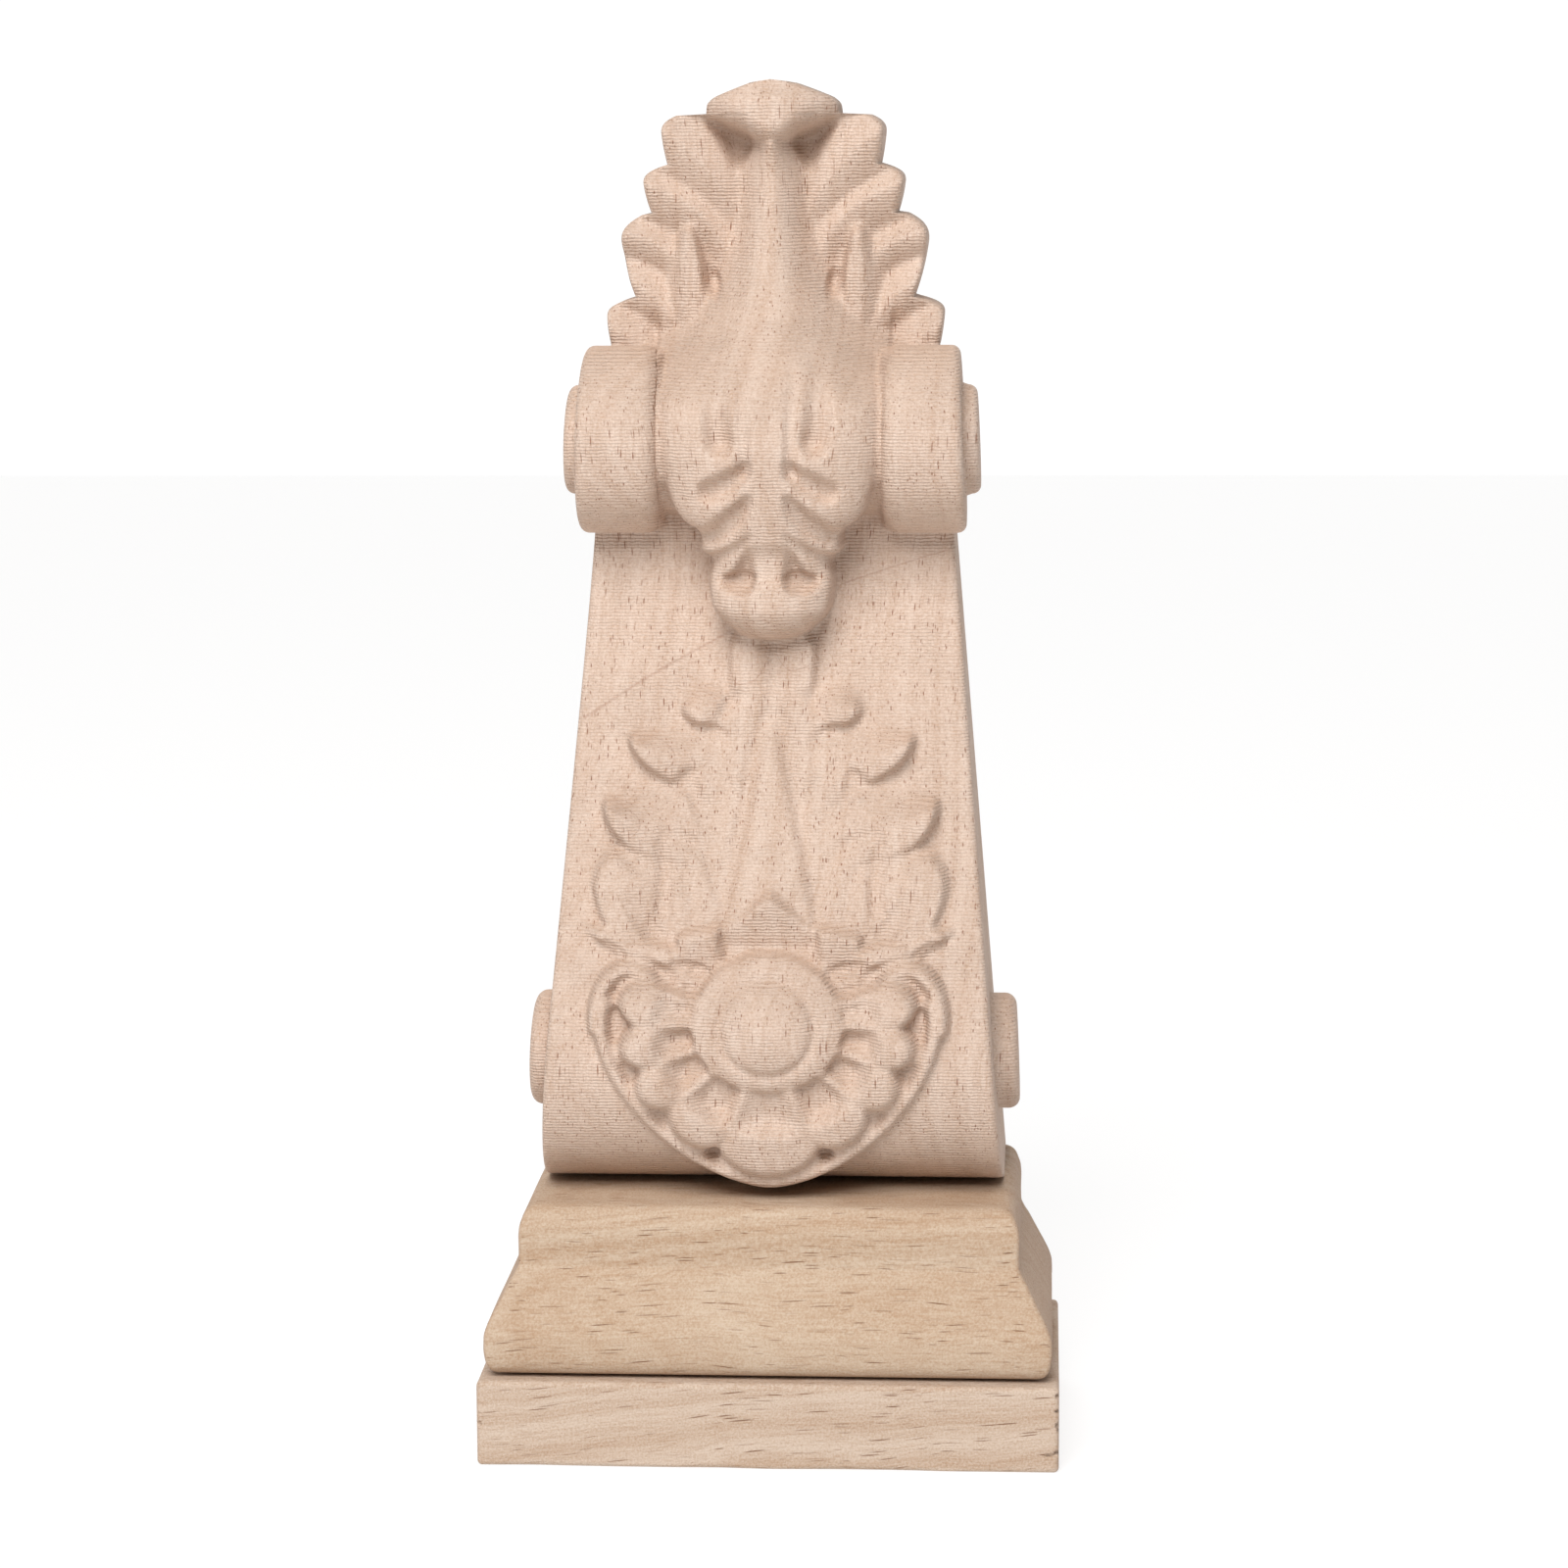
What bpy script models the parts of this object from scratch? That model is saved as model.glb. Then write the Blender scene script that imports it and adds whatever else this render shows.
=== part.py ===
"""Carved corbel in pale rubberwood: a scrolled and leafed block, a moulded foot and a plain slab.

The corbel stands on its slab, +Z up, with its flat back on the plane Y = 0 and its carving towards -Y.
The origin is on the back, half way up, where it meets the wall. Shapes are worked out in millimetres:
x from the middle line, z up from the slab's underside, and depth out from the wall.
"""
import math

import bmesh
import bpy
import numpy as np

MM = 0.001
JOINT_GAP = 0.3

# driving dimensions
TOTAL_HEIGHT = 200.0
ORIGIN_HEIGHT = 100.0
SLAB_WIDTH, SLAB_DEPTH, SLAB_HEIGHT = 85.0, 46.0, 12.8
MOULDING_TOP = 37.4
BODY_FOOT = MOULDING_TOP + JOINT_GAP
FOOT_HALF, NECK_HALF = 34.3, 26.7
NECK_HEIGHT, NECK_DEPTH = 133.0, 16.3
SCROLL = {"depth": 19.0, "height": BODY_FOOT + 19.0, "radius": 19.0}
TOP_SCROLL = {"depth": 16.0, "height": 147.8, "radius": 13.75}
TOP_DRUM_INNER, TOP_DRUM_HALF, TOP_EYE_HALF, TOP_EYE_RADIUS = 16.3, 28.0, 30.3, 8.0
LOW_EYE_HALF, LOW_EYE_RADIUS = 36.3, 8.6
ARRIS = 1.0

# how fine the carving is cut before it is thinned, and the share of its triangles that is kept
GRID_COLUMNS, GRID_ROWS = 150, 260
KEPT_SHARE = 0.072
DRUM_STEPS, EYE_STEPS = 36, 28

# side profile of the uncarved front between the scrolls, and of the crest's back leaf
HOLLOW = ((63.2, 36.85), (72, 33.7), (85, 29.3), (96, 25.7), (106, 22.6), (116, 19.7), (125, 17.5),
          (NECK_HEIGHT, NECK_DEPTH), (137, 16.0))
CREST_BACK = ((160, 10.0), (170, 10.0), (180, 11.0), (190, 13.0), (TOTAL_HEIGHT, 15.5))

# lobes of the crest's outline: foot, top and how far each reaches from the middle line; each is drawn in by
# these shares towards its foot and its nose, and the hood above them comes to a blunt point
CREST_LOBES = ((161.8, 168.2, 25.0), (168.2, 180.6, 22.8), (180.6, 187.6, 19.2), (187.6, 195.0, 16.3))
LOBE_FOOT_CUT, LOBE_NOSE_CUT, LOBE_NOSE_FROM = 0.10, 0.16, 0.55
NECK_LEAN_FROM, NECK_LEAN = 150.0, 0.03
HOOD_HALF, HOOD_SPREAD, HOOD_CURVE, HOOD_POINT = 9.6, 1.16, 0.675, 0.004

# leaves of the hollow front: start, middle and end of each one's line, its radii there, its height
FRONT_LEAVES = (
    ((3.0, 106), (3.6, 112), (4.2, 115.0), (3.2, 3.4, 3.0), 1.2),
    ((3.0, 103), (7.0, 112), (11.3, 108.6), (2.6, 2.6, 1.2), 1.3),
    ((6.0, 96), (10.0, 108), (19.4, 103.2), (3.6, 4.2, 0.7), 1.4),
    ((7.0, 86), (13.0, 100), (23.2, 93.4), (4.2, 6.0, 0.8), 1.6),
    ((13.0, 77), (23.0, 94), (22.6, 81.0), (4.5, 4.2, 3.2), 1.7),
    ((17.0, 75.5), (24.5, 80.5), (24.3, 73.0), (2.0, 2.4, 1.2), 1.6),
    ((3.0, 80), (5.0, 95), (3.0, 108), (7.0, 7.5, 2.8), 1.0),
    ((8.0, 76), (12.0, 84), (12.0, 92), (7.0, 6.5, 4.0), 1.0),
)
FRONT_VEINS = (
    ((14.9, 105.6), (10.5, 104.5), (7.2, 99.0), (0.9, 0.9, 1.0), 0.6),
    ((12.2, 98.6), (12.2, 97.0), (11.4, 95.4), (1.1, 1.1, 0.7), 1.2),
    ((8.9, 96.5), (7.0, 93.0), (5.6, 86.5), (0.8, 1.1, 1.2), 0.8),
    ((16.4, 88.5), (14.6, 85.0), (16.0, 80.0), (0.9, 1.1, 1.1), 0.8),
)
SPEAR_TIP, SPEAR_LENGTH, SPEAR_HALF = 110.0, 30.0, 7.2
SPEAR_LIFT, SPEAR_GROOVE, GROOVE_HALF = 0.3, 0.7, 0.6

# shell on the lower scroll, its ring and dome, and the way each petal points, in degrees
SHELL = {"height": 64.6, "across": 25.5, "down": 25.8, "square": 1.65, "top": 72.1}
SHELL_BED = ((38.6, 32.4), (42, 33.6), (48, 35.4), (54, 37.0), (60, 37.6), (66, 36.8), (72, 34.4), (84, 29.6))
RING_ACROSS, RING_UP, DOME_RADIUS = 11.1, 9.3, 7.0
PETAL_TURNS = (9.0, -8.5, -28.5, -54.0, -90.0)
PETAL_REACH, PETAL_HALF, PETAL_GROWTH, LAST_PETAL_EXTRA = 20.0, 2.9, 0.28, 1.3
PETAL_HEIGHT, BOWL_DEPTH = 2.4, 2.6
# how far out each petal's bowl lies and half its length and width: for most petals, then for the last
BOWL, BOWL_SHARE, LAST_BOWL = (13.2, 3.4), 0.55, (10.6, 1.2, 4.0)
RIM_EDGE, RIM_HEIGHT, RING_LIFT, RING_HEIGHT, DOME_LIFT, DOME_HEIGHT = 0.91, 2.1, 2.8, 0.8, 2.6, 2.6
OGEE_PEAK, OGEE_HALF, OGEE_SLOPE, OGEE_SWING, OGEE_RIM, OGEE_CUP = 82.3, 6.2, 0.62, 0.9, 2.2, 1.6
SIDE_LEAVES = (
    ((6.5, 73.5), (9.5, 77), (11.8, 77.6), (3.0, 2.8, 2.4), 2.3),
    ((11.0, 70.5), (15.5, 74), (17.5, 74.6), (2.6, 2.4, 1.6), 2.2),
    ((15.5, 68.5), (20.0, 72), (22.8, 71.8), (2.2, 2.0, 1.2), 2.0),
)

# leaf that hangs over the upper scroll, with its stem: height against half width and against depth
DRAPE_HALF = ((119.0, 0.5), (119.8, 4.4), (122.3, 7.4), (126.3, 8.7), (129.5, 7.6), (131.0, 7.2), (132.6, 8.3),
              (134.8, 7.8), (136.0, 9.6), (137.5, 12.4), (140.0, 14.0), (146.0, 15.3), (151.6, 15.4),
              (157.0, 14.2), (161.0, 13.0), (166.0, 9.0), (170.0, 6.6), (174.0, 4.8), (178.0, 3.2),
              (183.0, 2.2), (196.0, 2.2))
DRAPE_SPINE = ((119.0, 20.0), (120.5, 25.5), (123.5, 28.2), (126.5, 27.6), (130.0, 26.2), (134.0, 28.2),
               (140.0, 31.0), (147.0, 32.2), (153.0, 30.8), (158.0, 27.6), (162.0, 23.5), (166.0, 20.2),
               (172.0, 17.4), (180.0, 14.6), (190.0, 12.8), (196.0, 12.5))
DRAPE_CUTS = (
    ((3.0, 145.4), (6.0, 143.6), (9.8, 140.6), (1.2, 2.0, 1.5), 1.7),
    ((3.0, 139.8), (6.0, 138.0), (8.2, 135.0), (1.2, 2.0, 1.5), 1.7),
    ((3.0, 134.5), (5.5, 133.6), (8.5, 131.2), (0.8, 1.0, 1.0), 1.6),
    ((2.6, 132.2), (3.4, 130.6), (4.0, 129.2), (0.8, 1.5, 1.9), 3.0),
    ((5.0, 162.0), (5.4, 156.0), (6.6, 149.6), (1.3, 1.3, 0.6), 0.9),
    ((8.2, 148.6), (7.9, 147.0), (7.6, 146.0), (1.6, 1.9, 1.2), 0.8),
)

# rolls of the crest's lobes, then the eyelets and pits cut beside its stem
CREST_ROLLS = (
    ((15.5, 191.5), (10.0, 187.5), (6.0, 179.0), (3.6, 3.4, 1.8), 2.4),
    ((17.6, 184.6), (11.5, 181.8), (7.0, 173.5), (3.4, 3.1, 1.8), 2.8),
    ((20.4, 177.6), (17.0, 177.6), (13.5, 172.0), (3.4, 3.1, 2.0), 2.6),
    ((20.8, 172.6), (16.2, 170.0), (12.5, 163.0), (2.9, 2.7, 2.2), 3.0),
    ((23.6, 165.2), (19.0, 165.0), (16.0, 161.0), (3.0, 2.7, 2.2), 2.8),
    ((11.6, 179.5), (10.4, 173.0), (11.2, 164.5), (1.9, 1.9, 2.2), 3.2),
)
CREST_HOLES = (
    ((8.3, 172.4), (8.1, 170.6), (8.4, 168.6), (1.0, 1.4, 1.0), 4.0),
    ((8.6, 191.6), (6.6, 190.0), (5.8, 188.2), (2.6, 2.4, 1.2), 3.0),
)
HOOD_LIP, HOOD_LIP_SLOPE, HOOD_DEPTH, HOOD_BACK, HOOD_FALL = 190.4, 0.52, 19.5, 13.0, 2.2

# the core between the upper scroll's two drums lies this far inside them, and the block behind each drum less
CORE_DROP, BEHIND_DRUM_DROP = 3.0, 1.2
NOWHERE = -99.0

# moulding profile: how far inside the slab's outline it lies, and its height
MOULDING_PROFILE = ((3.8, SLAB_HEIGHT + JOINT_GAP), (2.6, 13.4), (1.6, 14.3), (1.15, 15.6), (0.95, 17.4),
                    (1.0, 19.0), (1.4, 20.5), (2.1, 22.0), (2.9, 23.5), (3.7, 25.0), (4.5, 26.5), (5.3, 27.8),
                    (5.75, 28.9), (5.8, 30.6), (5.75, 32.8), (5.85, 34.2), (6.2, 35.4), (6.7, 36.5),
                    (7.5, 37.15), (8.3, MOULDING_TOP))
SLAB_ROUND = 0.9


def ramp(edge0, edge1, value):
    """0 up to edge0, 1 from edge1 and a soft step between them"""
    t = np.clip((value - edge0) / (edge1 - edge0), 0, 1)
    return t * t * (3 - 2 * t)


def through(value, points):
    """smooth line through a few (value, result) points, which doesn't swing past them"""
    xs, ys = (np.array(column, float) for column in zip(*points))
    steps = np.diff(ys) / np.diff(xs)
    slopes = np.concatenate(([steps[0]], 0 * steps[1:], [steps[-1]]))
    same_way = steps[:-1] * steps[1:] > 0
    total = np.where(same_way, steps[:-1] + steps[1:], 1.0)
    slopes[1:-1] = np.where(same_way, 2 * steps[:-1] * steps[1:] / total, 0)
    i = np.clip(np.searchsorted(xs, value) - 1, 0, len(xs) - 2)
    width = xs[i + 1] - xs[i]
    t = np.clip((value - xs[i]) / width, 0, 1)
    return ((2 * t**3 - 3 * t**2 + 1) * ys[i] + (t**3 - 2 * t**2 + t) * width * slopes[i]
            + (3 * t**2 - 2 * t**3) * ys[i + 1] + (t**3 - t**2) * width * slopes[i + 1])


def dome(distance):
    """round section: 1 on a stroke's line, 0 at its edge and beyond"""
    return np.sqrt(np.clip(1 - distance**2, 0, 1))


def stroke(x, z, start, middle, end, radii, steps=20):
    """distance from a bent and tapering gouge stroke: 0 on its line, 1 at its edge"""
    nearest = np.full(x.shape, 99.0)
    for t in np.linspace(0, 1, steps):
        weights = ((1 - t)**2, 2 * t * (1 - t), t * t)
        line_x, line_z, radius = (sum(w * v for w, v in zip(weights, values)) for values in (
            (start[0], middle[0], end[0]), (start[1], middle[1], end[1]), radii))
        nearest = np.minimum(nearest, np.hypot(x - line_x, z - line_z) / radius)
    return nearest


def drum(z, scroll, extra=0.0):
    """front of a scroll, seen from the side, and nowhere above or below it"""
    radius = scroll["radius"] + extra
    rise = z - scroll["height"]
    front = scroll["depth"] + np.sqrt(np.maximum(radius**2 - rise**2, 0))
    return np.where(np.abs(rise) < radius + 0.01, front, NOWHERE)


def ground(z):
    """depth of the uncarved front: lower scroll, hollow neck, then the crest's back leaf"""
    body = np.where(z < HOLLOW[0][0], drum(z, SCROLL), through(z, HOLLOW))
    return np.where(z > TOP_SCROLL["height"], through(z, CREST_BACK), body)


def half_width(z):
    """half of the block's outline, seen from the front"""
    side = FOOT_HALF + (NECK_HALF - FOOT_HALF) * (z - BODY_FOOT) / (NECK_HEIGHT - BODY_FOOT)
    outline = side - NECK_LEAN * np.maximum(z - NECK_LEAN_FROM, 0)
    for foot, top, reach in CREST_LOBES:
        t = np.clip((z - foot) / (top - foot), 0, 1)
        nose = np.clip((t - LOBE_NOSE_FROM) / (1 - LOBE_NOSE_FROM), 0, 1)
        nose = 1 - LOBE_FOOT_CUT * (1 - t)**2 - LOBE_NOSE_CUT * nose**3
        outline = np.where((z > foot) & (z <= top), reach * nose, outline)
    hood_foot = CREST_LOBES[-1][1]
    below_top = (TOTAL_HEIGHT - z) / (TOTAL_HEIGHT - hood_foot)
    hood = HOOD_HALF * np.clip(below_top * HOOD_SPREAD, HOOD_POINT, 1)**HOOD_CURVE
    return np.where(z > hood_foot, hood, outline)


def front_leaves(x, z):
    """acanthus on the hollow front, as height over the ground"""
    lift = 0 * x
    for *line, radii, height in FRONT_LEAVES:
        distance = stroke(x, z, *line, radii)
        lift = np.maximum(lift, height * ramp(0, 0.3, 1 - distance) * (0.75 + 0.25 * dome(distance)))
    for *line, radii, depth in FRONT_VEINS:
        lift = lift - depth * dome(stroke(x, z, *line, radii)) * ramp(0, 0.8, lift)
    half = np.clip((SPEAR_TIP - z) / SPEAR_LENGTH, 0, 1.2) * SPEAR_HALF
    beside = (x - half - GROOVE_HALF) / GROOVE_HALF
    groove = SPEAR_GROOVE * np.exp(-beside**2) * ramp(80, 84, z) * ramp(0, 0.8, half)
    on_spear = np.where(x < half, SPEAR_LIFT + np.minimum(lift, 0.5), 0)
    spear = ramp(-0.9, 0.5, half - x) * ramp(0, 0.6, half) + on_spear
    return np.maximum(lift - groove, spear)


def ogee_leaves(x, z):
    """pointed leaf above the ring and the leaves beside it, as height over the ground"""
    below = OGEE_PEAK - OGEE_SLOPE * x - OGEE_SWING * np.sin(np.clip(x / OGEE_HALF, 0, 1) * math.pi) - z
    rim = OGEE_RIM * ramp(0, 0.8, below)
    cup = OGEE_CUP * ramp(0.8, 2.4, below) * ramp(OGEE_HALF, OGEE_HALF - 0.8, x) * (0.5 + 0.5 * ramp(0, 3, x))
    lift = np.where(x < OGEE_HALF, rim - cup, 0)
    for *line, radii, height in SIDE_LEAVES:
        lift = np.maximum(lift, height * dome(stroke(x, z, *line, radii)))
    return lift * (z > SHELL["height"])


def petal(x, rise, bed, place, turn):
    """one spoon-shaped petal of the shell, as depth from the wall"""
    way = math.radians(turn)
    along = x * math.cos(way) + rise * math.sin(way)
    across = rise * math.cos(way) - x * math.sin(way)
    last = place == len(PETAL_TURNS) - 1
    half = PETAL_HALF + PETAL_GROWTH * place + (LAST_PETAL_EXTRA if last else 0)
    taper = half * (0.55 + 0.45 * ramp(10, 17, along))
    spoon = np.hypot(across / taper, np.maximum(along - PETAL_REACH + half, 0) / half)
    if last:
        bowl = np.hypot((along - LAST_BOWL[0]) / LAST_BOWL[1], across / LAST_BOWL[2])
    else:
        bowl = np.hypot((along - BOWL[0]) / BOWL[1], across / (half * BOWL_SHARE))
    face = bed + PETAL_HEIGHT * np.sqrt(np.clip(1 - spoon**3, 0, 1)) - BOWL_DEPTH * np.clip(1 - bowl**2, 0, 1)
    return np.where((spoon < 1) & (along > 8), face, NOWHERE)


def shell(x, z):
    """rim, petals, ring and dome on the lower scroll, as depth from the wall"""
    rise = z - SHELL["height"]
    power = SHELL["square"]
    edge = (np.abs(x / SHELL["across"])**power + np.abs(rise / SHELL["down"])**power)**(1 / power)
    bed = through(z, SHELL_BED)
    half_rim = (1 - RIM_EDGE) / 2
    rim = bed + RIM_HEIGHT * dome((edge - 1 + half_rim) / half_rim)
    face = np.where((edge < 1) & (z < SHELL["top"]), np.where(edge > RIM_EDGE, rim, bed), NOWHERE)
    for place, turn in enumerate(PETAL_TURNS):
        face = np.maximum(face, petal(x, rise, bed + 0.6, place, turn))
    ring = np.hypot(x / RING_ACROSS, rise / RING_UP)
    face = np.where(ring < 1, bed + RING_LIFT + RING_HEIGHT * dome((ring - 0.82) / 0.18), face)
    cap = np.hypot(x, rise + 0.4) / DOME_RADIUS
    return np.where(cap < 1, bed + DOME_LIFT + DOME_HEIGHT * dome(cap), face)


def drape(x, z):
    """leaf over the upper scroll and its stem, as depth from the wall"""
    half = through(z, DRAPE_HALF)
    fall = 3.0 + 3.0 * ramp(160, 170, z)
    side = np.clip(x / half, 0, 1)
    face = through(z, DRAPE_SPINE) - fall * (1 - np.sqrt(1 - side**2.6))
    for *line, radii, depth in DRAPE_CUTS:
        face = face - depth * dome(stroke(x, z, *line, radii))
    return np.where((x < half) & (z > DRAPE_HALF[0][0]) & (z < DRAPE_HALF[-1][0]), face, NOWHERE)


def crest(x, z):
    """lobes of the crest and its hooded tip, as depth from the wall"""
    back = through(z, CREST_BACK)
    face = back
    for *line, radii, height in CREST_ROLLS:
        face = np.maximum(face, back + height * dome(stroke(x, z, *line, radii)))
    for *line, radii, depth in CREST_HOLES:
        face = face - depth * dome(stroke(x, z, *line, radii))
    lip = z - HOOD_LIP - HOOD_LIP_SLOPE * x
    crown = HOOD_DEPTH - HOOD_FALL * (x / HOOD_HALF)**2 - 0.12 * np.maximum(z - 196, 0)**2
    hood = HOOD_BACK + (crown - HOOD_BACK) * ramp(0, 1.6, lip)
    hood = np.where((lip > 0) & (x < HOOD_HALF + 0.3), hood, NOWHERE)
    return np.where(z > TOP_SCROLL["height"] + 10, np.maximum(face, hood), NOWHERE)


def carved_front(x, z):
    """depth of the carved front from the wall"""
    outer = half_width(z)
    x = np.abs(x)
    base = ground(z)
    on_hollow = (z > 70) & (z < 119)
    face = base + np.where(on_hollow, np.maximum(front_leaves(x, z), ogee_leaves(x, z)), 0)
    core = drum(z, TOP_SCROLL, -CORE_DROP)
    behind_drum = np.where(x > TOP_DRUM_INNER + 1.5, drum(z, TOP_SCROLL, -BEHIND_DRUM_DROP), NOWHERE)
    for form in (shell(x, z), crest(x, z), core, behind_drum, drape(x, z)):
        face = np.maximum(face, form)
    rounded = ARRIS * (1 - dome(np.clip((x - outer + ARRIS) / ARRIS, 0, 1)))
    return face - np.where(outer > 3 * ARRIS, rounded, 0)


def row_heights():
    """heights of the grid's rows, evenly spaced along the side profile"""
    z = np.linspace(BODY_FOOT, TOTAL_HEIGHT, 4000)
    depth = np.maximum(ground(z), drum(z, TOP_SCROLL))
    travelled = np.concatenate(([0], np.cumsum(np.hypot(np.diff(z), np.diff(depth)))))
    return np.interp(np.linspace(0, travelled[-1], GRID_ROWS), travelled, z)


def wood(name, colour, roughness):
    """plain wood finish, with its colour in linear values"""
    material = bpy.data.materials.new(name)
    material.use_nodes = True
    shader = material.node_tree.nodes["Principled BSDF"]
    shader.inputs["Base Color"].default_value = (*colour, 1)
    shader.inputs["Roughness"].default_value = roughness
    shader.inputs["Metallic"].default_value = 0.0
    material.diffuse_color = (*colour, 1)
    return material


def finish(mesh_data, name, material):
    """object made of a bmesh that is in millimetres above the underside"""
    bmesh.ops.translate(mesh_data, verts=mesh_data.verts, vec=(0, 0, -ORIGIN_HEIGHT))
    bmesh.ops.scale(mesh_data, verts=mesh_data.verts, vec=(MM, MM, MM))
    bmesh.ops.recalc_face_normals(mesh_data, faces=mesh_data.faces)
    mesh = bpy.data.meshes.new(name)
    mesh_data.to_mesh(mesh)
    mesh_data.free()
    mesh.materials.append(material)
    made = bpy.data.objects.new(name, mesh)
    bpy.context.collection.objects.link(made)
    return made


def thinned_front():
    """bmesh of the carved front as an open sheet, with fewer triangles where it is plain"""
    sheet = bmesh.new()
    bmesh.ops.create_grid(sheet, x_segments=GRID_COLUMNS, y_segments=GRID_ROWS - 1, size=1)
    rows = row_heights()
    u = np.array([vertex.co.x for vertex in sheet.verts])
    row = np.rint((np.array([vertex.co.y for vertex in sheet.verts]) + 1) / 2 * (GRID_ROWS - 1))
    z = rows[row.astype(int)]
    x = u * half_width(z)
    for vertex, *place in zip(sheet.verts, x, -carved_front(x, z), z):
        vertex.co = place
    mesh = bpy.data.meshes.new("carved_front")
    sheet.to_mesh(mesh)
    sheet.free()
    carrier = bpy.data.objects.new("carved_front", mesh)
    bpy.context.collection.objects.link(carrier)
    thin = carrier.modifiers.new("thin", "DECIMATE")
    thin.ratio = KEPT_SHARE
    seen = carrier.evaluated_get(bpy.context.evaluated_depsgraph_get())
    thinned = bmesh.new()
    thinned.from_mesh(seen.to_mesh())
    seen.to_mesh_clear()
    bpy.data.objects.remove(carrier)
    return thinned


def turned(profile, steps, height, depth, side):
    """closed solid turned round a sideways axis, from (x, radius) points that run inside to outside"""
    solid = bmesh.new()
    points = [solid.verts.new((x, 0, radius)) for x, radius in profile]
    edges = [solid.edges.new(pair) for pair in zip(points, points[1:])]
    bmesh.ops.spin(solid, geom=points + edges, cent=(0, 0, 0), axis=(1, 0, 0), angle=2 * math.pi,
                   steps=steps, use_merge=True)
    bmesh.ops.remove_doubles(solid, verts=solid.verts, dist=0.001)
    if side < 0:
        bmesh.ops.scale(solid, verts=solid.verts, vec=(-1, 1, 1))
    lean = (FOOT_HALF - NECK_HALF) / (NECK_HEIGHT - BODY_FOOT) * 0.5
    for vertex in solid.verts:
        vertex.co.x -= side * lean * vertex.co.z * ramp(profile[0][0], profile[-1][0], abs(vertex.co.x))
    bmesh.ops.translate(solid, verts=solid.verts, vec=(0, -depth, height))
    return solid


def joined_to(body, solid, name, material):
    """Boolean union of a turned solid with the body"""
    tool = finish(solid, name, material)
    tool.hide_render = True
    tool.display_type = "WIRE"
    union = body.modifiers.new(name, "BOOLEAN")
    union.operation = "UNION"
    union.solver = "EXACT"
    union.object = tool


def make_scroll_body():
    """carved block: thinned front, straight sides, flat back, upper scroll drums and round eyes"""
    material = wood("rubberwood_upright", (0.75, 0.58, 0.46), 0.62)
    block = thinned_front()
    for vertex in block.verts:
        if vertex.co.z < BODY_FOOT + 0.05:
            vertex.co.z = BODY_FOOT
    rim = [edge for edge in block.edges if edge.is_boundary]
    walls = bmesh.ops.extrude_edge_only(block, edges=rim)["geom"]
    back = [item for item in walls if isinstance(item, bmesh.types.BMVert)]
    for vertex in back:
        vertex.co.y = 0
    back_edges = [edge for edge in block.edges if edge.is_boundary]
    bmesh.ops.contextual_create(block, geom=back_edges)
    bmesh.ops.triangulate(block, faces=block.faces, ngon_method="EAR_CLIP")
    body = finish(block, "scroll_body", material)

    radius = TOP_SCROLL["radius"]
    drum_profile = ((TOP_DRUM_INNER, 0), (TOP_DRUM_INNER, radius - 1.6), (TOP_DRUM_INNER + 0.5, radius - 0.5),
                    (TOP_DRUM_INNER + 1.7, radius), (TOP_DRUM_HALF - 0.8, radius),
                    (TOP_DRUM_HALF, radius - 0.9), (TOP_DRUM_HALF, TOP_EYE_RADIUS + 0.3),
                    (TOP_EYE_HALF - 0.9, TOP_EYE_RADIUS), (TOP_EYE_HALF - 0.1, TOP_EYE_RADIUS - 1.2),
                    (TOP_EYE_HALF, TOP_EYE_RADIUS - 3), (TOP_EYE_HALF, 0))
    eye_profile = ((30.0, 0), (30.0, LOW_EYE_RADIUS), (LOW_EYE_HALF - 1.1, LOW_EYE_RADIUS),
                   (LOW_EYE_HALF - 0.2, LOW_EYE_RADIUS - 1.2), (LOW_EYE_HALF, LOW_EYE_RADIUS - 3.2),
                   (LOW_EYE_HALF, 0))
    for side, name in ((-1, "left"), (1, "right")):
        joined_to(body, turned(drum_profile, DRUM_STEPS, TOP_SCROLL["height"], TOP_SCROLL["depth"], side),
                  name + "_upper_drum", material)
        joined_to(body, turned(eye_profile, EYE_STEPS, SCROLL["height"], SCROLL["depth"], side),
                  name + "_lower_eye", material)


def make_ogee_moulding():
    """moulded foot: one profile run round the front and both sides, with mitred corners"""
    block = bmesh.new()
    rings = []
    for inset, height in MOULDING_PROFILE:
        half, depth = SLAB_WIDTH / 2 - inset, SLAB_DEPTH - inset
        corners = ((half, 0), (half, -depth), (-half, -depth), (-half, 0))
        ring = [block.verts.new((x, y, height)) for x, y in corners]
        rings.append([block.edges.new((ring[i - 1], ring[i])) for i in range(len(ring))])
    for lower, upper in zip(rings, rings[1:]):
        bmesh.ops.bridge_loops(block, edges=lower + upper)
    for ring in (rings[0], rings[-1]):
        bmesh.ops.contextual_create(block, geom=ring)
    finish(block, "ogee_moulding", wood("rubberwood_across", (0.68, 0.50, 0.36), 0.6))


def make_base_slab():
    """plain slab with softly rounded edges and a square back"""
    block = bmesh.new()
    bmesh.ops.create_cube(block, size=1)
    bmesh.ops.scale(block, verts=block.verts, vec=(SLAB_WIDTH, SLAB_DEPTH, SLAB_HEIGHT))
    bmesh.ops.translate(block, verts=block.verts, vec=(0, -SLAB_DEPTH / 2, SLAB_HEIGHT / 2))
    shown = [edge for edge in block.edges if min(vertex.co.y for vertex in edge.verts) < -1]
    bmesh.ops.bevel(block, geom=shown, offset=SLAB_ROUND, offset_type="OFFSET", affect="EDGES", segments=3,
                    profile=0.5, material=-1)
    finish(block, "base_slab", wood("rubberwood_slab", (0.66, 0.48, 0.35), 0.6))


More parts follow.
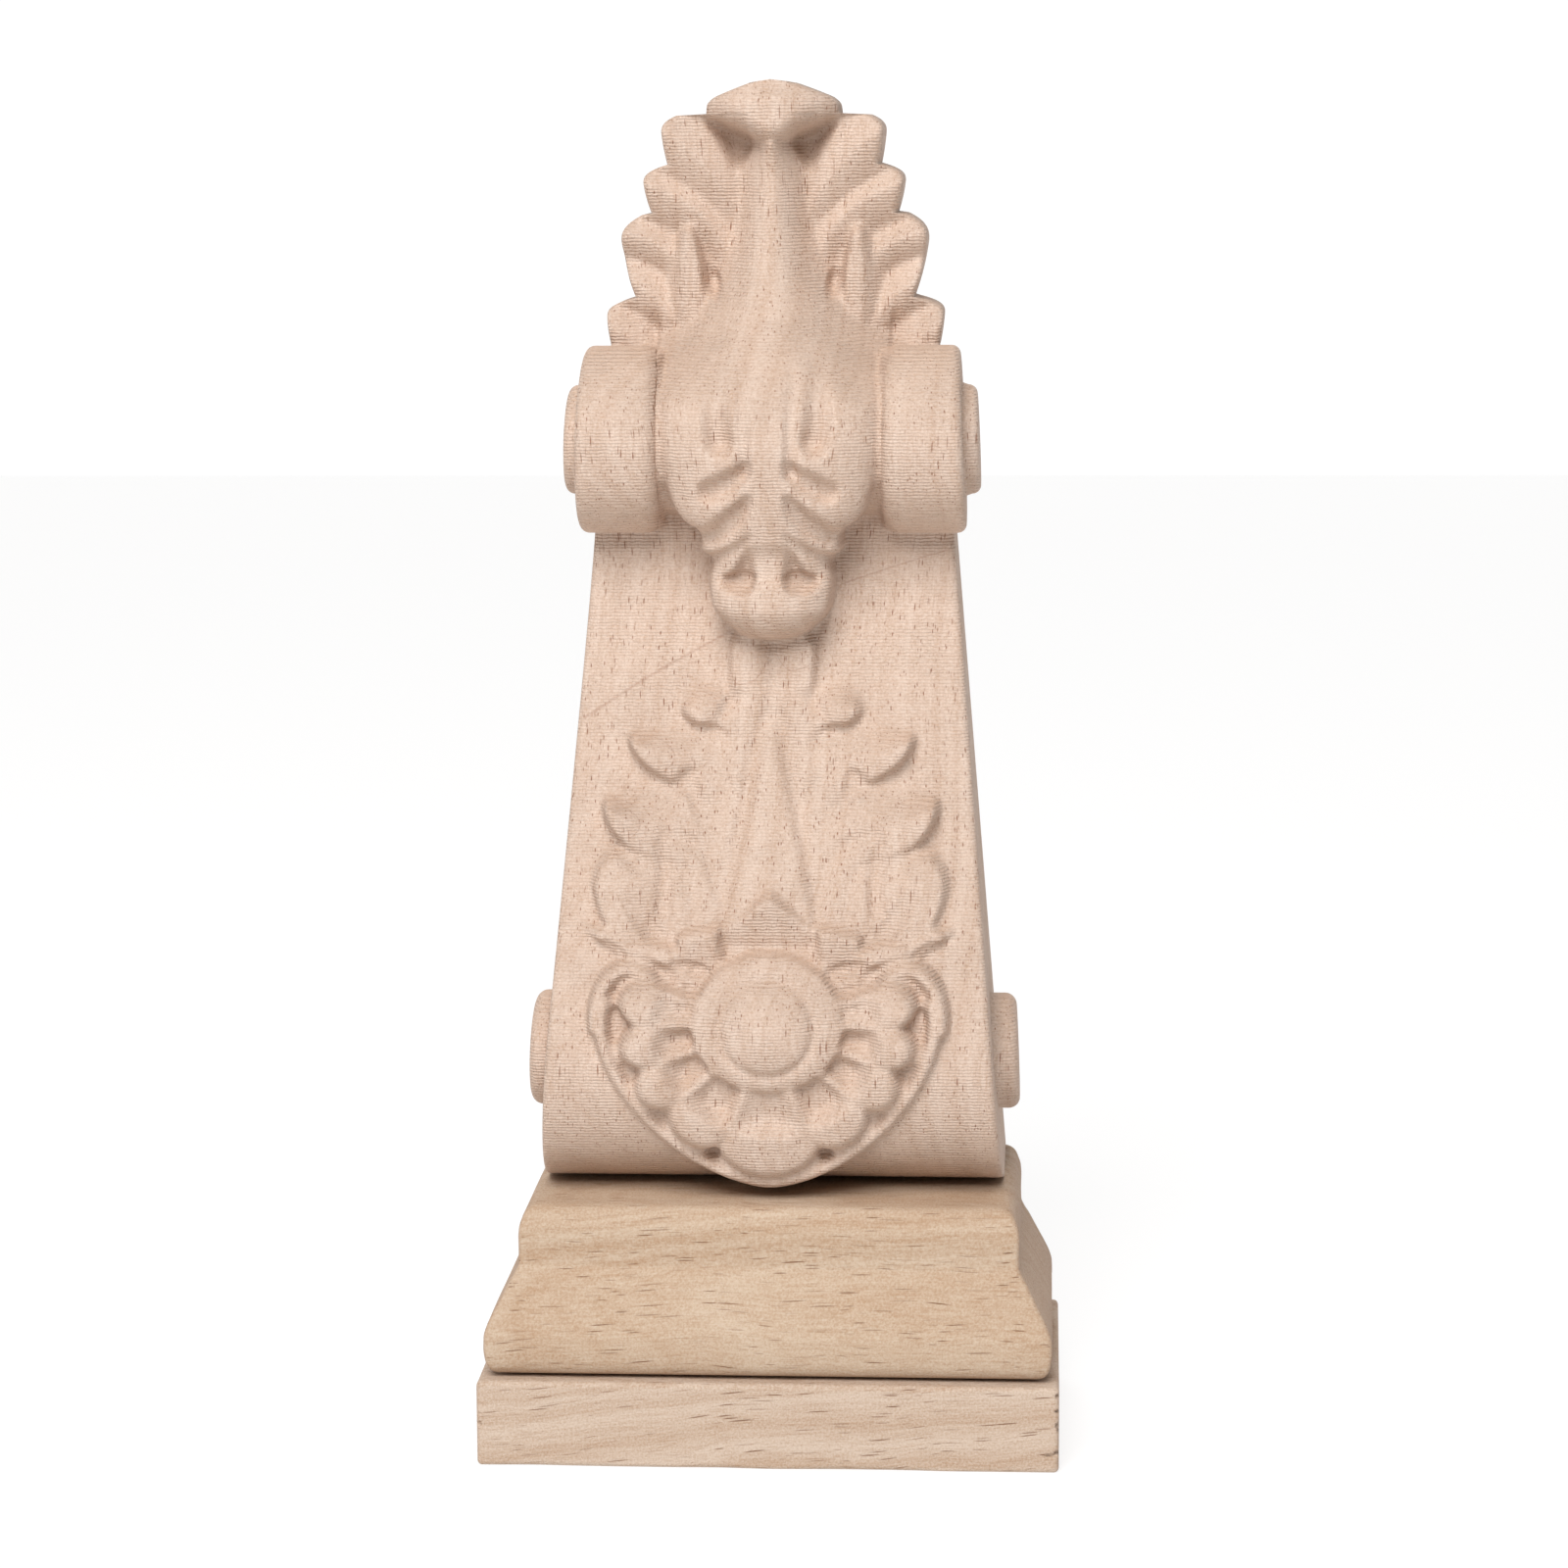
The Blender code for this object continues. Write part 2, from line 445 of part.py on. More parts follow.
for old in list(bpy.data.objects):
    bpy.data.objects.remove(old)
make_scroll_body()
make_ogee_moulding()
make_base_slab()
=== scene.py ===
import math

import bmesh
import bpy
import numpy as np
from mathutils import Matrix, Vector, noise


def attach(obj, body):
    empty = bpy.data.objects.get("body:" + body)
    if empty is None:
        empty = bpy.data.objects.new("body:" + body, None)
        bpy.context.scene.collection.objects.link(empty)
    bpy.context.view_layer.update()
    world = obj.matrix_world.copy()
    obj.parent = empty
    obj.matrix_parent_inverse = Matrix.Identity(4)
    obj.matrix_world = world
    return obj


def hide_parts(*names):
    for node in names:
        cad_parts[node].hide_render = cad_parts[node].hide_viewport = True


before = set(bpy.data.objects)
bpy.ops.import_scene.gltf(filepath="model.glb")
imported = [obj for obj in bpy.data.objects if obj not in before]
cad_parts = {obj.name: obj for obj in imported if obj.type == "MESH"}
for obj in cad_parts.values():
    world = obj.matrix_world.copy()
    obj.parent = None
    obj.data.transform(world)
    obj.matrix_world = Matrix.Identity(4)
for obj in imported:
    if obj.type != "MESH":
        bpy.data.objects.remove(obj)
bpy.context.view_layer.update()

# Base slab: a plain board of rubberwood, 85 x 46 x 12.8 mm, with its grain from left to right. It was
# planed, sawn to length and glued under the moulding; its edges are rubbed round by hand, and the saw
# tore small chips out of its ends, most of them on the right.
MM = 0.001
ORIGIN_HEIGHT = 100.0
SLAB_WIDTH, SLAB_DEPTH, SLAB_HEIGHT = 85.0, 46.0, 12.8
SLAB_CUTS = 59
SLAB_ROUND = 0.8
# chips: where each lies across, out from the wall and up, and its half sizes
SLAB_CHIPS = (
    ((42.5, 46.0, 9.3), (0.7, 2.0, 0.35)), ((42.5, 46.0, 7.2), (0.6, 1.6, 0.45)),
    ((42.5, 45.6, 6.5), (0.35, 1.2, 0.3)), ((42.5, 46.0, 3.0), (0.9, 2.4, 0.4)),
    ((41.4, 46.0, 2.6), (1.3, 0.5, 0.25)), ((-42.5, 46.0, 6.3), (0.8, 0.6, 0.3)),
    ((42.5, 46.0, 11.6), (0.5, 1.0, 0.5)),
)
# waves per millimetre in the rubbed edges and in the ragged chips, and how deep the saw tore them
EDGE_WAVES, CHIP_WAVES, CHIP_DEPTH = 0.11, 2.2, 0.9
SLAB_GRAIN_TILT = 5.5


def ramp(edge0, edge1, value):
    """0 up to edge0, 1 from edge1 and a soft step between them"""
    t = np.clip((value - edge0) / (edge1 - edge0), 0, 1)
    return t * t * (3 - 2 * t)


def linear(code):
    """linear colour of an sRGB hex code"""
    parts = [int(code[i:i + 2], 16) / 255 for i in (0, 2, 4)]
    return [p / 12.92 if p <= 0.04045 else ((p + 0.055) / 1.055)**2.4 for p in parts] + [1.0]


def add(tree, kind, settings=(), links=()):
    """adds a node with its settings, and links its sockets or sets them"""
    node = tree.nodes.new("ShaderNode" + kind)
    for name, value in dict(settings).items():
        setattr(node, name, value)
    for socket, source in dict(links).items():
        if isinstance(source, bpy.types.NodeSocket):
            tree.links.new(source, node.inputs[socket])
        else:
            node.inputs[socket].default_value = source
    return node


def from_points(mesh_data, places):
    """moves a bmesh's points to places in millimetres above the underside"""
    for vertex, (x, y, z) in zip(mesh_data.verts, places):
        vertex.co = (x * MM, y * MM, (z - ORIGIN_HEIGHT) * MM)


def finish(mesh_data, name, material):
    """smooth-shaded object at the origin, made of a bmesh"""
    bmesh.ops.recalc_face_normals(mesh_data, faces=mesh_data.faces)
    for face in mesh_data.faces:
        face.smooth = True
    mesh = bpy.data.meshes.new(name)
    mesh_data.to_mesh(mesh)
    mesh_data.free()
    mesh.materials.append(material)
    made = bpy.data.objects.new(name, mesh)
    bpy.context.collection.objects.link(made)
    return made


def rubberwood(name, turn, colours, pore_share, pore_length, figure, pith=(31.0, 12.0, 0.0), taper=0.045,
               milled=0.0, seams=()):
    """bare rubberwood: creamy tan with long faint growth bands, fine fibre and short brown pore lines

    turn brings the board's grain onto the pattern's third axis. Pores are open vessels 0.2 mm wide that
    show as dashes on faces cut along the grain and as dots on end grain, which has a tone of its own.
    milled is how deep the cutter's marks are, and seams are glue lines: a plane's normal and distance from
    the middle, half the line's width and how dark it is.
    """
    light, dark, pore, end = (linear(code) for code in colours)
    material = bpy.data.materials.new(name)
    material.use_nodes = True
    tree = material.node_tree
    shader = tree.nodes["Principled BSDF"]
    place = add(tree, "TexCoord")
    scaled = add(tree, "VectorMath", {"operation": "SCALE"}, {0: place.outputs["Object"], "Scale": 1000.0})
    board = add(tree, "Mapping", {"vector_type": "POINT"}, {0: scaled.outputs[0], "Rotation": turn})
    drift = add(tree, "TexNoise", {"noise_dimensions": "3D"},
                {"Vector": board.outputs[0], "Scale": 0.035, "Detail": 2.0})
    bend = add(tree, "VectorMath", {"operation": "MULTIPLY_ADD"},
               {0: drift.outputs["Color"], 1: (5.0, 5.0, 0.0), 2: board.outputs[0]})

    # growth bands: rings about a far-off pith, drawn out along the grain
    ringed = add(tree, "Mapping", {"vector_type": "POINT"},
                 {0: bend.outputs[0], "Location": pith, "Scale": (1.0, 1.0, taper)})
    length = add(tree, "VectorMath", {"operation": "LENGTH"}, {0: ringed.outputs[0]})
    bands = add(tree, "TexNoise", {"noise_dimensions": "1D"},
                {"W": length.outputs["Value"], "Scale": 0.42, "Detail": 5.0, "Roughness": 0.62})
    banded = add(tree, "MapRange", {}, {"Value": bands.outputs[0], "From Min": 0.34, "From Max": 0.66})

    # fibre: fine streaks about 0.3 mm apart and many times as long
    stretched = add(tree, "Mapping", {"vector_type": "POINT"},
                    {0: bend.outputs[0], "Scale": (3.2, 3.2, 0.13)})
    fibre = add(tree, "TexNoise", {"noise_dimensions": "3D"},
                {"Vector": stretched.outputs[0], "Scale": 1.0, "Detail": 4.0, "Roughness": 0.6})

    # pores: one stretched cell each, some of them faint
    celled = add(tree, "Mapping", {"vector_type": "POINT"},
                 {0: bend.outputs[0], "Scale": (1 / 0.42, 1 / 0.42, 1 / pore_length)})
    cells = add(tree, "TexVoronoi", {"feature": "F1", "voronoi_dimensions": "3D"},
                {"Vector": celled.outputs[0], "Scale": 1.0, "Randomness": 1.0})
    open_pore = add(tree, "MapRange", {"interpolation_type": "SMOOTHSTEP"},
                    {"Value": cells.outputs["Distance"], "From Min": 0.3, "From Max": 0.12})
    chance = add(tree, "SeparateColor", {}, {0: cells.outputs["Color"]})
    strength = add(tree, "MapRange", {}, {"Value": chance.outputs[0], "From Min": 1 - pore_share,
                                          "From Max": 1.0, "To Min": 0.0, "To Max": 1.0})
    pores = add(tree, "Math", {"operation": "MULTIPLY"}, {0: open_pore.outputs[0], 1: strength.outputs[0]})

    # share of end grain in the way a face looks
    grain = (Matrix.Rotation(turn[2], 3, "Z") @ Matrix.Rotation(turn[1], 3, "Y")
             @ Matrix.Rotation(turn[0], 3, "X"))
    along = add(tree, "VectorMath", {"operation": "DOT_PRODUCT"},
                {0: place.outputs["Normal"], 1: tuple(grain.transposed() @ Vector((0, 0, 1)))})
    squared = add(tree, "Math", {"operation": "POWER"}, {0: along.outputs["Value"], 1: 2.0})

    tone = add(tree, "Math", {"operation": "MULTIPLY"}, {0: banded.outputs[0], 1: figure})
    streak = add(tree, "MapRange", {}, {"Value": fibre.outputs[0], "From Min": 0.3, "From Max": 0.7,
                                        "To Min": -0.1, "To Max": 0.3})
    fuzz = add(tree, "TexNoise", {"noise_dimensions": "3D"},
               {"Vector": scaled.outputs[0], "Scale": 3.0, "Detail": 1.5, "Roughness": 0.7})
    worn = add(tree, "MapRange", {}, {"Value": fuzz.outputs[0], "From Min": 0.3, "From Max": 0.7,
                                      "To Min": -0.2, "To Max": 0.4})
    if milled:
        # cutter passes 0.5 mm apart run across the block; they fade in and out where it was sanded
        split = add(tree, "SeparateXYZ", {}, {0: scaled.outputs[0]})
        wander = add(tree, "TexNoise", {"noise_dimensions": "3D"},
                     {"Vector": scaled.outputs[0], "Scale": 0.9, "Detail": 2.0})
        waved = add(tree, "Math", {"operation": "MULTIPLY"}, {0: wander.outputs[0], 1: 5.0})
        phase = add(tree, "Math", {"operation": "MULTIPLY_ADD"},
                    {0: split.outputs[2], 1: 2 * math.pi / 0.48, 2: waved.outputs[0]})
        passes = add(tree, "Math", {"operation": "SINE"}, {0: phase.outputs[0]})
        patches = add(tree, "TexNoise", {"noise_dimensions": "3D"},
                      {"Vector": scaled.outputs[0], "Scale": 0.16, "Detail": 2.0})
        kept = add(tree, "MapRange", {}, {"Value": patches.outputs[0], "From Min": 0.35, "From Max": 0.65,
                                          "To Min": 0.5 * milled, "To Max": milled})
        # they are deepest where the face climbs or falls, and end at the sawn sides and back
        facing = add(tree, "SeparateXYZ", {}, {0: place.outputs["Normal"]})
        climb = add(tree, "Math", {"operation": "MULTIPLY"}, {0: facing.outputs[2], 1: facing.outputs[2]})
        deeper = add(tree, "MapRange", {}, {"Value": climb.outputs[0], "From Min": 0.1, "From Max": 0.6,
                                            "To Min": 0.8, "To Max": 1.7})
        front = add(tree, "MapRange", {}, {"Value": facing.outputs[1], "From Min": -0.02, "From Max": -0.3})
        reach = add(tree, "Math", {"operation": "MULTIPLY"}, {0: deeper.outputs[0], 1: front.outputs[0]})
        cut_in = add(tree, "Math", {"operation": "MULTIPLY"}, {0: kept.outputs[0], 1: reach.outputs[0]})
        marks = add(tree, "Math", {"operation": "MULTIPLY"}, {0: passes.outputs[0], 1: cut_in.outputs[0]})
        tone = add(tree, "Math", {"operation": "MULTIPLY_ADD"},
                   {0: marks.outputs[0], 1: -0.2, 2: tone.outputs[0]})
    streaked = add(tree, "Math", {"operation": "ADD"}, {0: tone.outputs[0], 1: streak.outputs[0]})
    both = add(tree, "Math", {"operation": "ADD", "use_clamp": True},
               {0: streaked.outputs[0], 1: worn.outputs[0]})
    wood = add(tree, "Mix", {"data_type": "RGBA"}, {0: both.outputs[0], 6: light, 7: dark})
    ended = add(tree, "Math", {"operation": "MULTIPLY"}, {0: squared.outputs[0], 1: 0.5})
    cut = add(tree, "Mix", {"data_type": "RGBA"}, {0: ended.outputs[0], 6: wood.outputs[2], 7: end})
    pored = add(tree, "Math", {"operation": "MULTIPLY"}, {0: pores.outputs[0], 1: 0.85})
    coloured = add(tree, "Mix", {"data_type": "RGBA"}, {0: pored.outputs[0], 6: cut.outputs[2], 7: pore})
    last = coloured.outputs[2]
    for normal, offset, width, shade in seams:
        # glue line: a thin darker line where two boards meet
        apart = add(tree, "VectorMath", {"operation": "DOT_PRODUCT"}, {0: scaled.outputs[0], 1: normal})
        shifted = add(tree, "Math", {"operation": "SUBTRACT"}, {0: apart.outputs["Value"], 1: offset})
        off = add(tree, "Math", {"operation": "ABSOLUTE"}, {0: shifted.outputs[0]})
        thin = add(tree, "MapRange", {"interpolation_type": "SMOOTHSTEP"},
                   {"Value": off.outputs[0], "From Min": 0.0, "From Max": width,
                    "To Min": shade, "To Max": 0.0})
        last = add(tree, "Mix", {"data_type": "RGBA"}, {0: thin.outputs[0], 6: last, 7: pore}).outputs[2]
    tree.links.new(last, shader.inputs["Base Color"])

    rough = add(tree, "MapRange", {}, {"Value": fuzz.outputs[0], "To Min": 0.6, "To Max": 0.85})
    tree.links.new(rough.outputs[0], shader.inputs["Roughness"])
    height = add(tree, "Math", {"operation": "MULTIPLY_ADD"},
                 {0: fibre.outputs[0], 1: 0.55, 2: fuzz.outputs[0]})
    carved = add(tree, "Math", {"operation": "MULTIPLY_ADD"},
                 {0: pores.outputs[0], 1: -0.35, 2: height.outputs[0]})
    last = carved.outputs[0]
    if milled:
        last = add(tree, "Math", {"operation": "ADD"}, {0: last, 1: marks.outputs[0]}).outputs[0]
    bump = add(tree, "Bump", {}, {"Height": last, "Strength": 0.7, "Distance": 0.00017})
    tree.links.new(bump.outputs[0], shader.inputs["Normal"])
    shader.inputs["IOR"].default_value = 1.45
    shader.inputs["Specular IOR Level"].default_value = 0.22
    return material


def make_slab():
    """board with rubbed edges, as a finely cut box whose points are moved onto rounded edges"""
    board = bmesh.new()
    bmesh.ops.create_cube(board, size=2)
    bmesh.ops.subdivide_edges(board, edges=board.edges, cuts=SLAB_CUTS, use_grid_fill=True)
    half = np.array([SLAB_WIDTH, SLAB_DEPTH, SLAB_HEIGHT]) / 2
    share = np.array([vertex.co for vertex in board.verts])
    point = half * np.sin(share * math.pi / 2)
    wear = np.array([noise.noise(Vector(p) * EDGE_WAVES) for p in point])
    radius = (SLAB_ROUND * (1 + 0.5 * wear))[:, None]
    core = np.clip(point, -(half - radius), half - radius)
    away = point - core
    length = np.linalg.norm(away, axis=1, keepdims=True)
    point = core + away / np.maximum(length, 1e-9) * radius
    at_wall = share[:, 1] > 0.999
    point[:, 1] = np.where(at_wall, half[1], point[:, 1])
    point += (0, -SLAB_DEPTH / 2, SLAB_HEIGHT / 2)
    for (x, out, z), sizes in SLAB_CHIPS:
        apart = (point - (x, -out, z)) / sizes
        inside = np.clip(1 - np.linalg.norm(apart, axis=1), 0, 1)
        ragged = np.array([noise.noise(Vector(p) * CHIP_WAVES) for p in point])
        bite = inside * (0.75 + 0.5 * ragged)
        point[:, 0] -= math.copysign(1.0, x) * bite * CHIP_DEPTH
        point[:, 1] += bite * CHIP_DEPTH
    from_points(board, point)
    return board


slab_wood = rubberwood("rubberwood_planed", (0, math.pi / 2 + math.radians(SLAB_GRAIN_TILT), 0),
                       ("CAB7A6", "A7886E", "6C4426", "B89A86"), pore_share=0.8, pore_length=8.0, figure=0.34,
                       pith=(120.0, 20.0, 0.0), taper=0.09)
slab = finish(make_slab(), "slab_board", slab_wood)
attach(slab, "root")
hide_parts("base_slab")

# Ogee moulding: a rubberwood block, 24 mm high, whose front and ends were run through a moulding cutter and
# sanded. It is glued between the slab and the carved block, with its grain from left to right.
MOULDING_TOP = 37.4
# how far inside the slab's outline the profile lies, and its height
MOULDING_PROFILE = ((3.8, 13.1), (2.6, 13.4), (1.6, 14.3), (1.15, 15.6), (0.95, 17.4), (1.0, 19.0),
                    (1.4, 20.5), (2.1, 22.0), (2.9, 23.5), (3.7, 25.0), (4.5, 26.5), (5.3, 27.8),
                    (5.75, 28.9), (5.8, 30.6), (5.75, 32.8), (5.85, 34.2), (6.2, 35.4), (6.7, 36.5),
                    (7.5, 37.15), (8.3, MOULDING_TOP))
MOULDING_CORNER = 0.7
# points up the profile, along an end, round a corner and along the front
PROFILE_STEPS, END_STEPS, ARC_STEPS, FRONT_STEPS = 110, 40, 8, 110
# hand sanding: how deep it is, how much that varies, and the heights and the end that it reaches
RUBBED, RUBBED_UNEVEN = 0.05, 0.10
RUBBED_FOOT, RUBBED_TOP, RUBBED_END = 14, 37, 30
MOULDING_GRAIN_TILT = 1.6


def through(value, points):
    """smooth line through a few (value, result) points, which doesn't swing past them"""
    xs, ys = (np.array(column, float) for column in zip(*points))
    steps = np.diff(ys) / np.diff(xs)
    slopes = np.concatenate(([steps[0]], 0 * steps[1:], [steps[-1]]))
    same_way = steps[:-1] * steps[1:] > 0
    total = np.where(same_way, steps[:-1] + steps[1:], 1.0)
    slopes[1:-1] = np.where(same_way, 2 * steps[:-1] * steps[1:] / total, 0)
    i = np.clip(np.searchsorted(xs, value) - 1, 0, len(xs) - 2)
    width = xs[i + 1] - xs[i]
    t = np.clip((value - xs[i]) / width, 0, 1)
    return ((2 * t**3 - 3 * t**2 + 1) * ys[i] + (t**3 - 2 * t**2 + t) * width * slopes[i]
            + (3 * t**2 - 2 * t**3) * ys[i + 1] + (t**3 - t**2) * width * slopes[i + 1])


def make_moulding():
    """sheet bent round the front and both ends to one profile, with its underside and top filled"""
    travelled = [0.0]
    for (x0, z0), (x1, z1) in zip(MOULDING_PROFILE, MOULDING_PROFILE[1:]):
        travelled.append(travelled[-1] + math.hypot(x1 - x0, z1 - z0))
    way = np.linspace(0, travelled[-1], PROFILE_STEPS)
    insets = through(way, [(t, p[0]) for t, p in zip(travelled, MOULDING_PROFILE)])
    heights = through(way, [(t, p[1]) for t, p in zip(travelled, MOULDING_PROFILE)])
    rings = []
    for inset, height in zip(insets, heights):
        half, depth, r = SLAB_WIDTH / 2 - inset, SLAB_DEPTH - inset, MOULDING_CORNER
        turn = np.linspace(0, math.pi / 2, ARC_STEPS + 1)[1:-1]
        right = [(half, -out) for out in np.linspace(0, depth - r, END_STEPS)]
        corner = [(half - r + r * math.cos(a), -depth + r - r * math.sin(a)) for a in turn]
        front = [(x, -depth) for x in np.linspace(half - r, 0, FRONT_STEPS // 2, endpoint=False)]
        path = right + corner + front
        path += [(0.0, -depth)] + [(-x, y) for x, y in reversed(path)] + [right[0]]
        rings.append([Vector((x, y, height)) for x, y in path])
    last = len(rings[0]) - 1
    block = bmesh.new()
    bmesh.ops.create_grid(block, x_segments=last, y_segments=PROFILE_STEPS - 1, size=1)
    places = []
    for vertex in block.verts:
        p = rings[round((vertex.co.y + 1) / 2 * (PROFILE_STEPS - 1))][round((vertex.co.x + 1) / 2 * last)]
        worn = RUBBED + RUBBED_UNEVEN * noise.noise(Vector((p.x * 0.05, p.z * 0.16, p.y * 0.05)))
        inwards = Vector((-math.copysign(1, p.x) if abs(p.x) > RUBBED_END else 0, 1, 0))
        places.append(p + inwards * worn * (1 if RUBBED_FOOT < p.z < RUBBED_TOP and p.y < -1 else 0))
    from_points(block, places)
    bmesh.ops.remove_doubles(block, verts=block.verts, dist=0.001 * MM)
    bmesh.ops.holes_fill(block, edges=[edge for edge in block.edges if edge.is_boundary], sides=0)
    return block


moulding_wood = rubberwood("rubberwood_moulded", (0, math.pi / 2 + math.radians(MOULDING_GRAIN_TILT), 0),
                           ("C4B09B", "A78669", "6C4426", "B29481"), pore_share=0.9, pore_length=9.0,
                           figure=0.42, pith=(79.0, 31.0, 6.0), taper=0.15)
moulding = finish(make_moulding(), "foot_moulding", moulding_wood)
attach(moulding, "root")
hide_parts("ogee_moulding")

# Carved block: upright boards of rubberwood glued together, 162 mm high and up to 73 mm wide. A ball-nosed
# cutter carved it from the front, pass by pass: scrolls at both ends, a shell rosette below, acanthus on
# the hollow and a leafy crest. It is glued on the moulding, and was lightly sanded.
JOINT_GAP = 0.3
TOTAL_HEIGHT = 200.0
BODY_FOOT = MOULDING_TOP + JOINT_GAP
FOOT_HALF, NECK_HALF = 34.3, 26.7
NECK_HEIGHT, NECK_DEPTH = 133.0, 16.3
SCROLL = {"depth": 19.0, "height": BODY_FOOT + 19.0, "radius": 19.0}
TOP_SCROLL = {"depth": 16.0, "height": 147.8, "radius": 13.75}
TOP_DRUM_INNER, TOP_DRUM_HALF, TOP_EYE_HALF, TOP_EYE_RADIUS = 16.3, 28.0, 30.3, 8.0
LOW_EYE_INNER, LOW_EYE_HALF, LOW_EYE_RADIUS = 30.0, 36.3, 8.6
DRUM_ROUND = 2.4
# rubbed edges of the block, its upper drums and its lower eyes
ARRIS, DRUM_ARRIS, EYE_ARRIS = 1.1, 1.3, 1.7
CORE_DROP, BEHIND_DRUM_DROP = 3.0, 0.6
CREST_FROM = TOP_SCROLL["height"] + 10
NOWHERE = -99.0
# side profile of the uncarved front between the scrolls, and of the crest's back leaf
HOLLOW = ((63.2, 36.85), (72, 33.7), (85, 29.3), (96, 25.7), (106, 22.6), (116, 19.7), (125, 17.5),
          (NECK_HEIGHT, NECK_DEPTH), (137, 16.0))
CREST_BACK = ((160, 10.0), (170, 10.0), (180, 11.0), (190, 13.0), (TOTAL_HEIGHT, 15.5))

# lobes of the crest's outline: foot, top, how far each reaches from the middle line and its foot's cut
CREST_LOBES = ((161.0, 168.2, 25.0, 0.03), (168.2, 180.6, 22.8, 0.10), (180.6, 187.6, 19.2, 0.06),
               (187.6, 195.0, 16.3, 0.05))
LOBE_NOSE_CUT, LOBE_NOSE_FROM = 0.16, 0.6
NECK_LEAN_FROM, NECK_LEAN = 150.0, 0.03
HOOD_OUTLINE = ((194.9, 9.7), (196.3, 9.5), (197.3, 8.6), (198.2, 6.6), (199.0, 4.5), (199.6, 2.7),
                (TOTAL_HEIGHT, 0.04))

# A carved line is a row of (across, height, reach, lift) from its root to its tip. Leaves grow outwards, so
# its left is above it and its right below. The two shares after it stretch its reach on those sides.
CREST_RIDGES = (
    (((5.2, 180.6, 1.8, 0.7), (8.0, 187.0, 4.6, 2.1), (15.6, 192.4, 5.0, 2.3)), 0.9, 1.25),
    (((6.4, 173.5, 2.0, 0.9), (8.6, 180.8, 3.4, 1.8), (13.5, 183.2, 4.0, 2.4), (19.5, 185.2, 4.2, 2.4)),
     0.75, 1.3),
    (((12.8, 169.5, 2.0, 1.4), (13.6, 176.6, 3.0, 2.1), (22.4, 178.0, 3.2, 2.3)), 0.8, 1.3),
    (((13.4, 160.5, 2.2, 1.7), (14.6, 168.4, 3.2, 2.3), (22.8, 171.4, 3.8, 2.4)), 1.05, 1.2),
    (((19.0, 158.0, 3.0, 2.3), (20.6, 163.0, 4.0, 2.3), (25.6, 164.4, 4.6, 2.3)), 1.0, 1.3),
)
TONGUE = ((12.0, 161.0, 2.6, 2.6), (12.9, 170.0, 4.4, 4.2), (12.6, 177.4, 1.5, 3.6))
CREST_CUTS = (
    ((9.1, 172.6, 0.5, 0.4), (8.7, 170.6, 1.6, 5.2), (8.4, 168.2, 0.5, 0.4)),
    ((17.9, 166.4, 0.5, 0.8), (17.7, 163.4, 0.9, 2.2), (17.7, 160.5, 0.6, 1.6)),
)
# lower edge of the hooded tip, across and up, its roundness, and the pit on each side of the stem below it
HOOD_LIP = ((0.0, 190.2), (1.2, 190.6), (2.6, 191.5), (3.9, 192.4), (7.1, 193.9), (10.5, 195.0))
HOOD_ROLL = 3.4
HOOD_PIT = ((11.6, 196.4, 5.4), (0.2, 191.6, 5.4), (5.6, 185.0, 1.3))
# the hood's depth at its sides, how much more it has in the middle, its half width and how its top falls
HOOD_SIDE, HOOD_RISE, HOOD_HALF = 14.6, 5.2, 10.4
HOOD_FALL, HOOD_FALL_FROM = 1.6, 196.5

# leaf that hangs over the upper scroll, with its stem: height against half width and against depth
DRAPE_HALF = ((118.6, 0.5), (119.3, 4.2), (120.6, 6.0), (122.2, 7.6), (124.4, 8.8), (128.0, 9.1),
              (130.4, 8.6), (131.4, 9.4), (132.4, 10.4), (134.2, 10.2), (135.2, 10.6), (136.4, 12.4),
              (138.4, 13.8), (142.0, 14.9), (147.0, 15.8), (156.5, 16.0), (160.0, 15.0), (166.0, 11.0),
              (170.0, 8.2), (174.0, 6.2), (178.0, 4.8), (183.0, 3.9), (186.6, 3.3), (188.6, 2.6),
              (190.6, 1.9), (196.0, 0.8))
DRAPE_SPINE = ((118.6, 20.0), (119.6, 24.8), (121.5, 27.4), (124.0, 28.6), (126.5, 28.4), (129.0, 27.6),
               (131.5, 27.9), (134.0, 29.4), (140.0, 31.2), (147.0, 32.2), (152.0, 31.4), (156.0, 29.6),
               (160.0, 26.8), (164.0, 23.6), (168.0, 21.0), (173.0, 18.7), (180.0, 16.9), (186.0, 16.7),
               (189.2, 17.6), (191.2, 18.7), (196.0, 19.0))
MIDRIB = 2.4
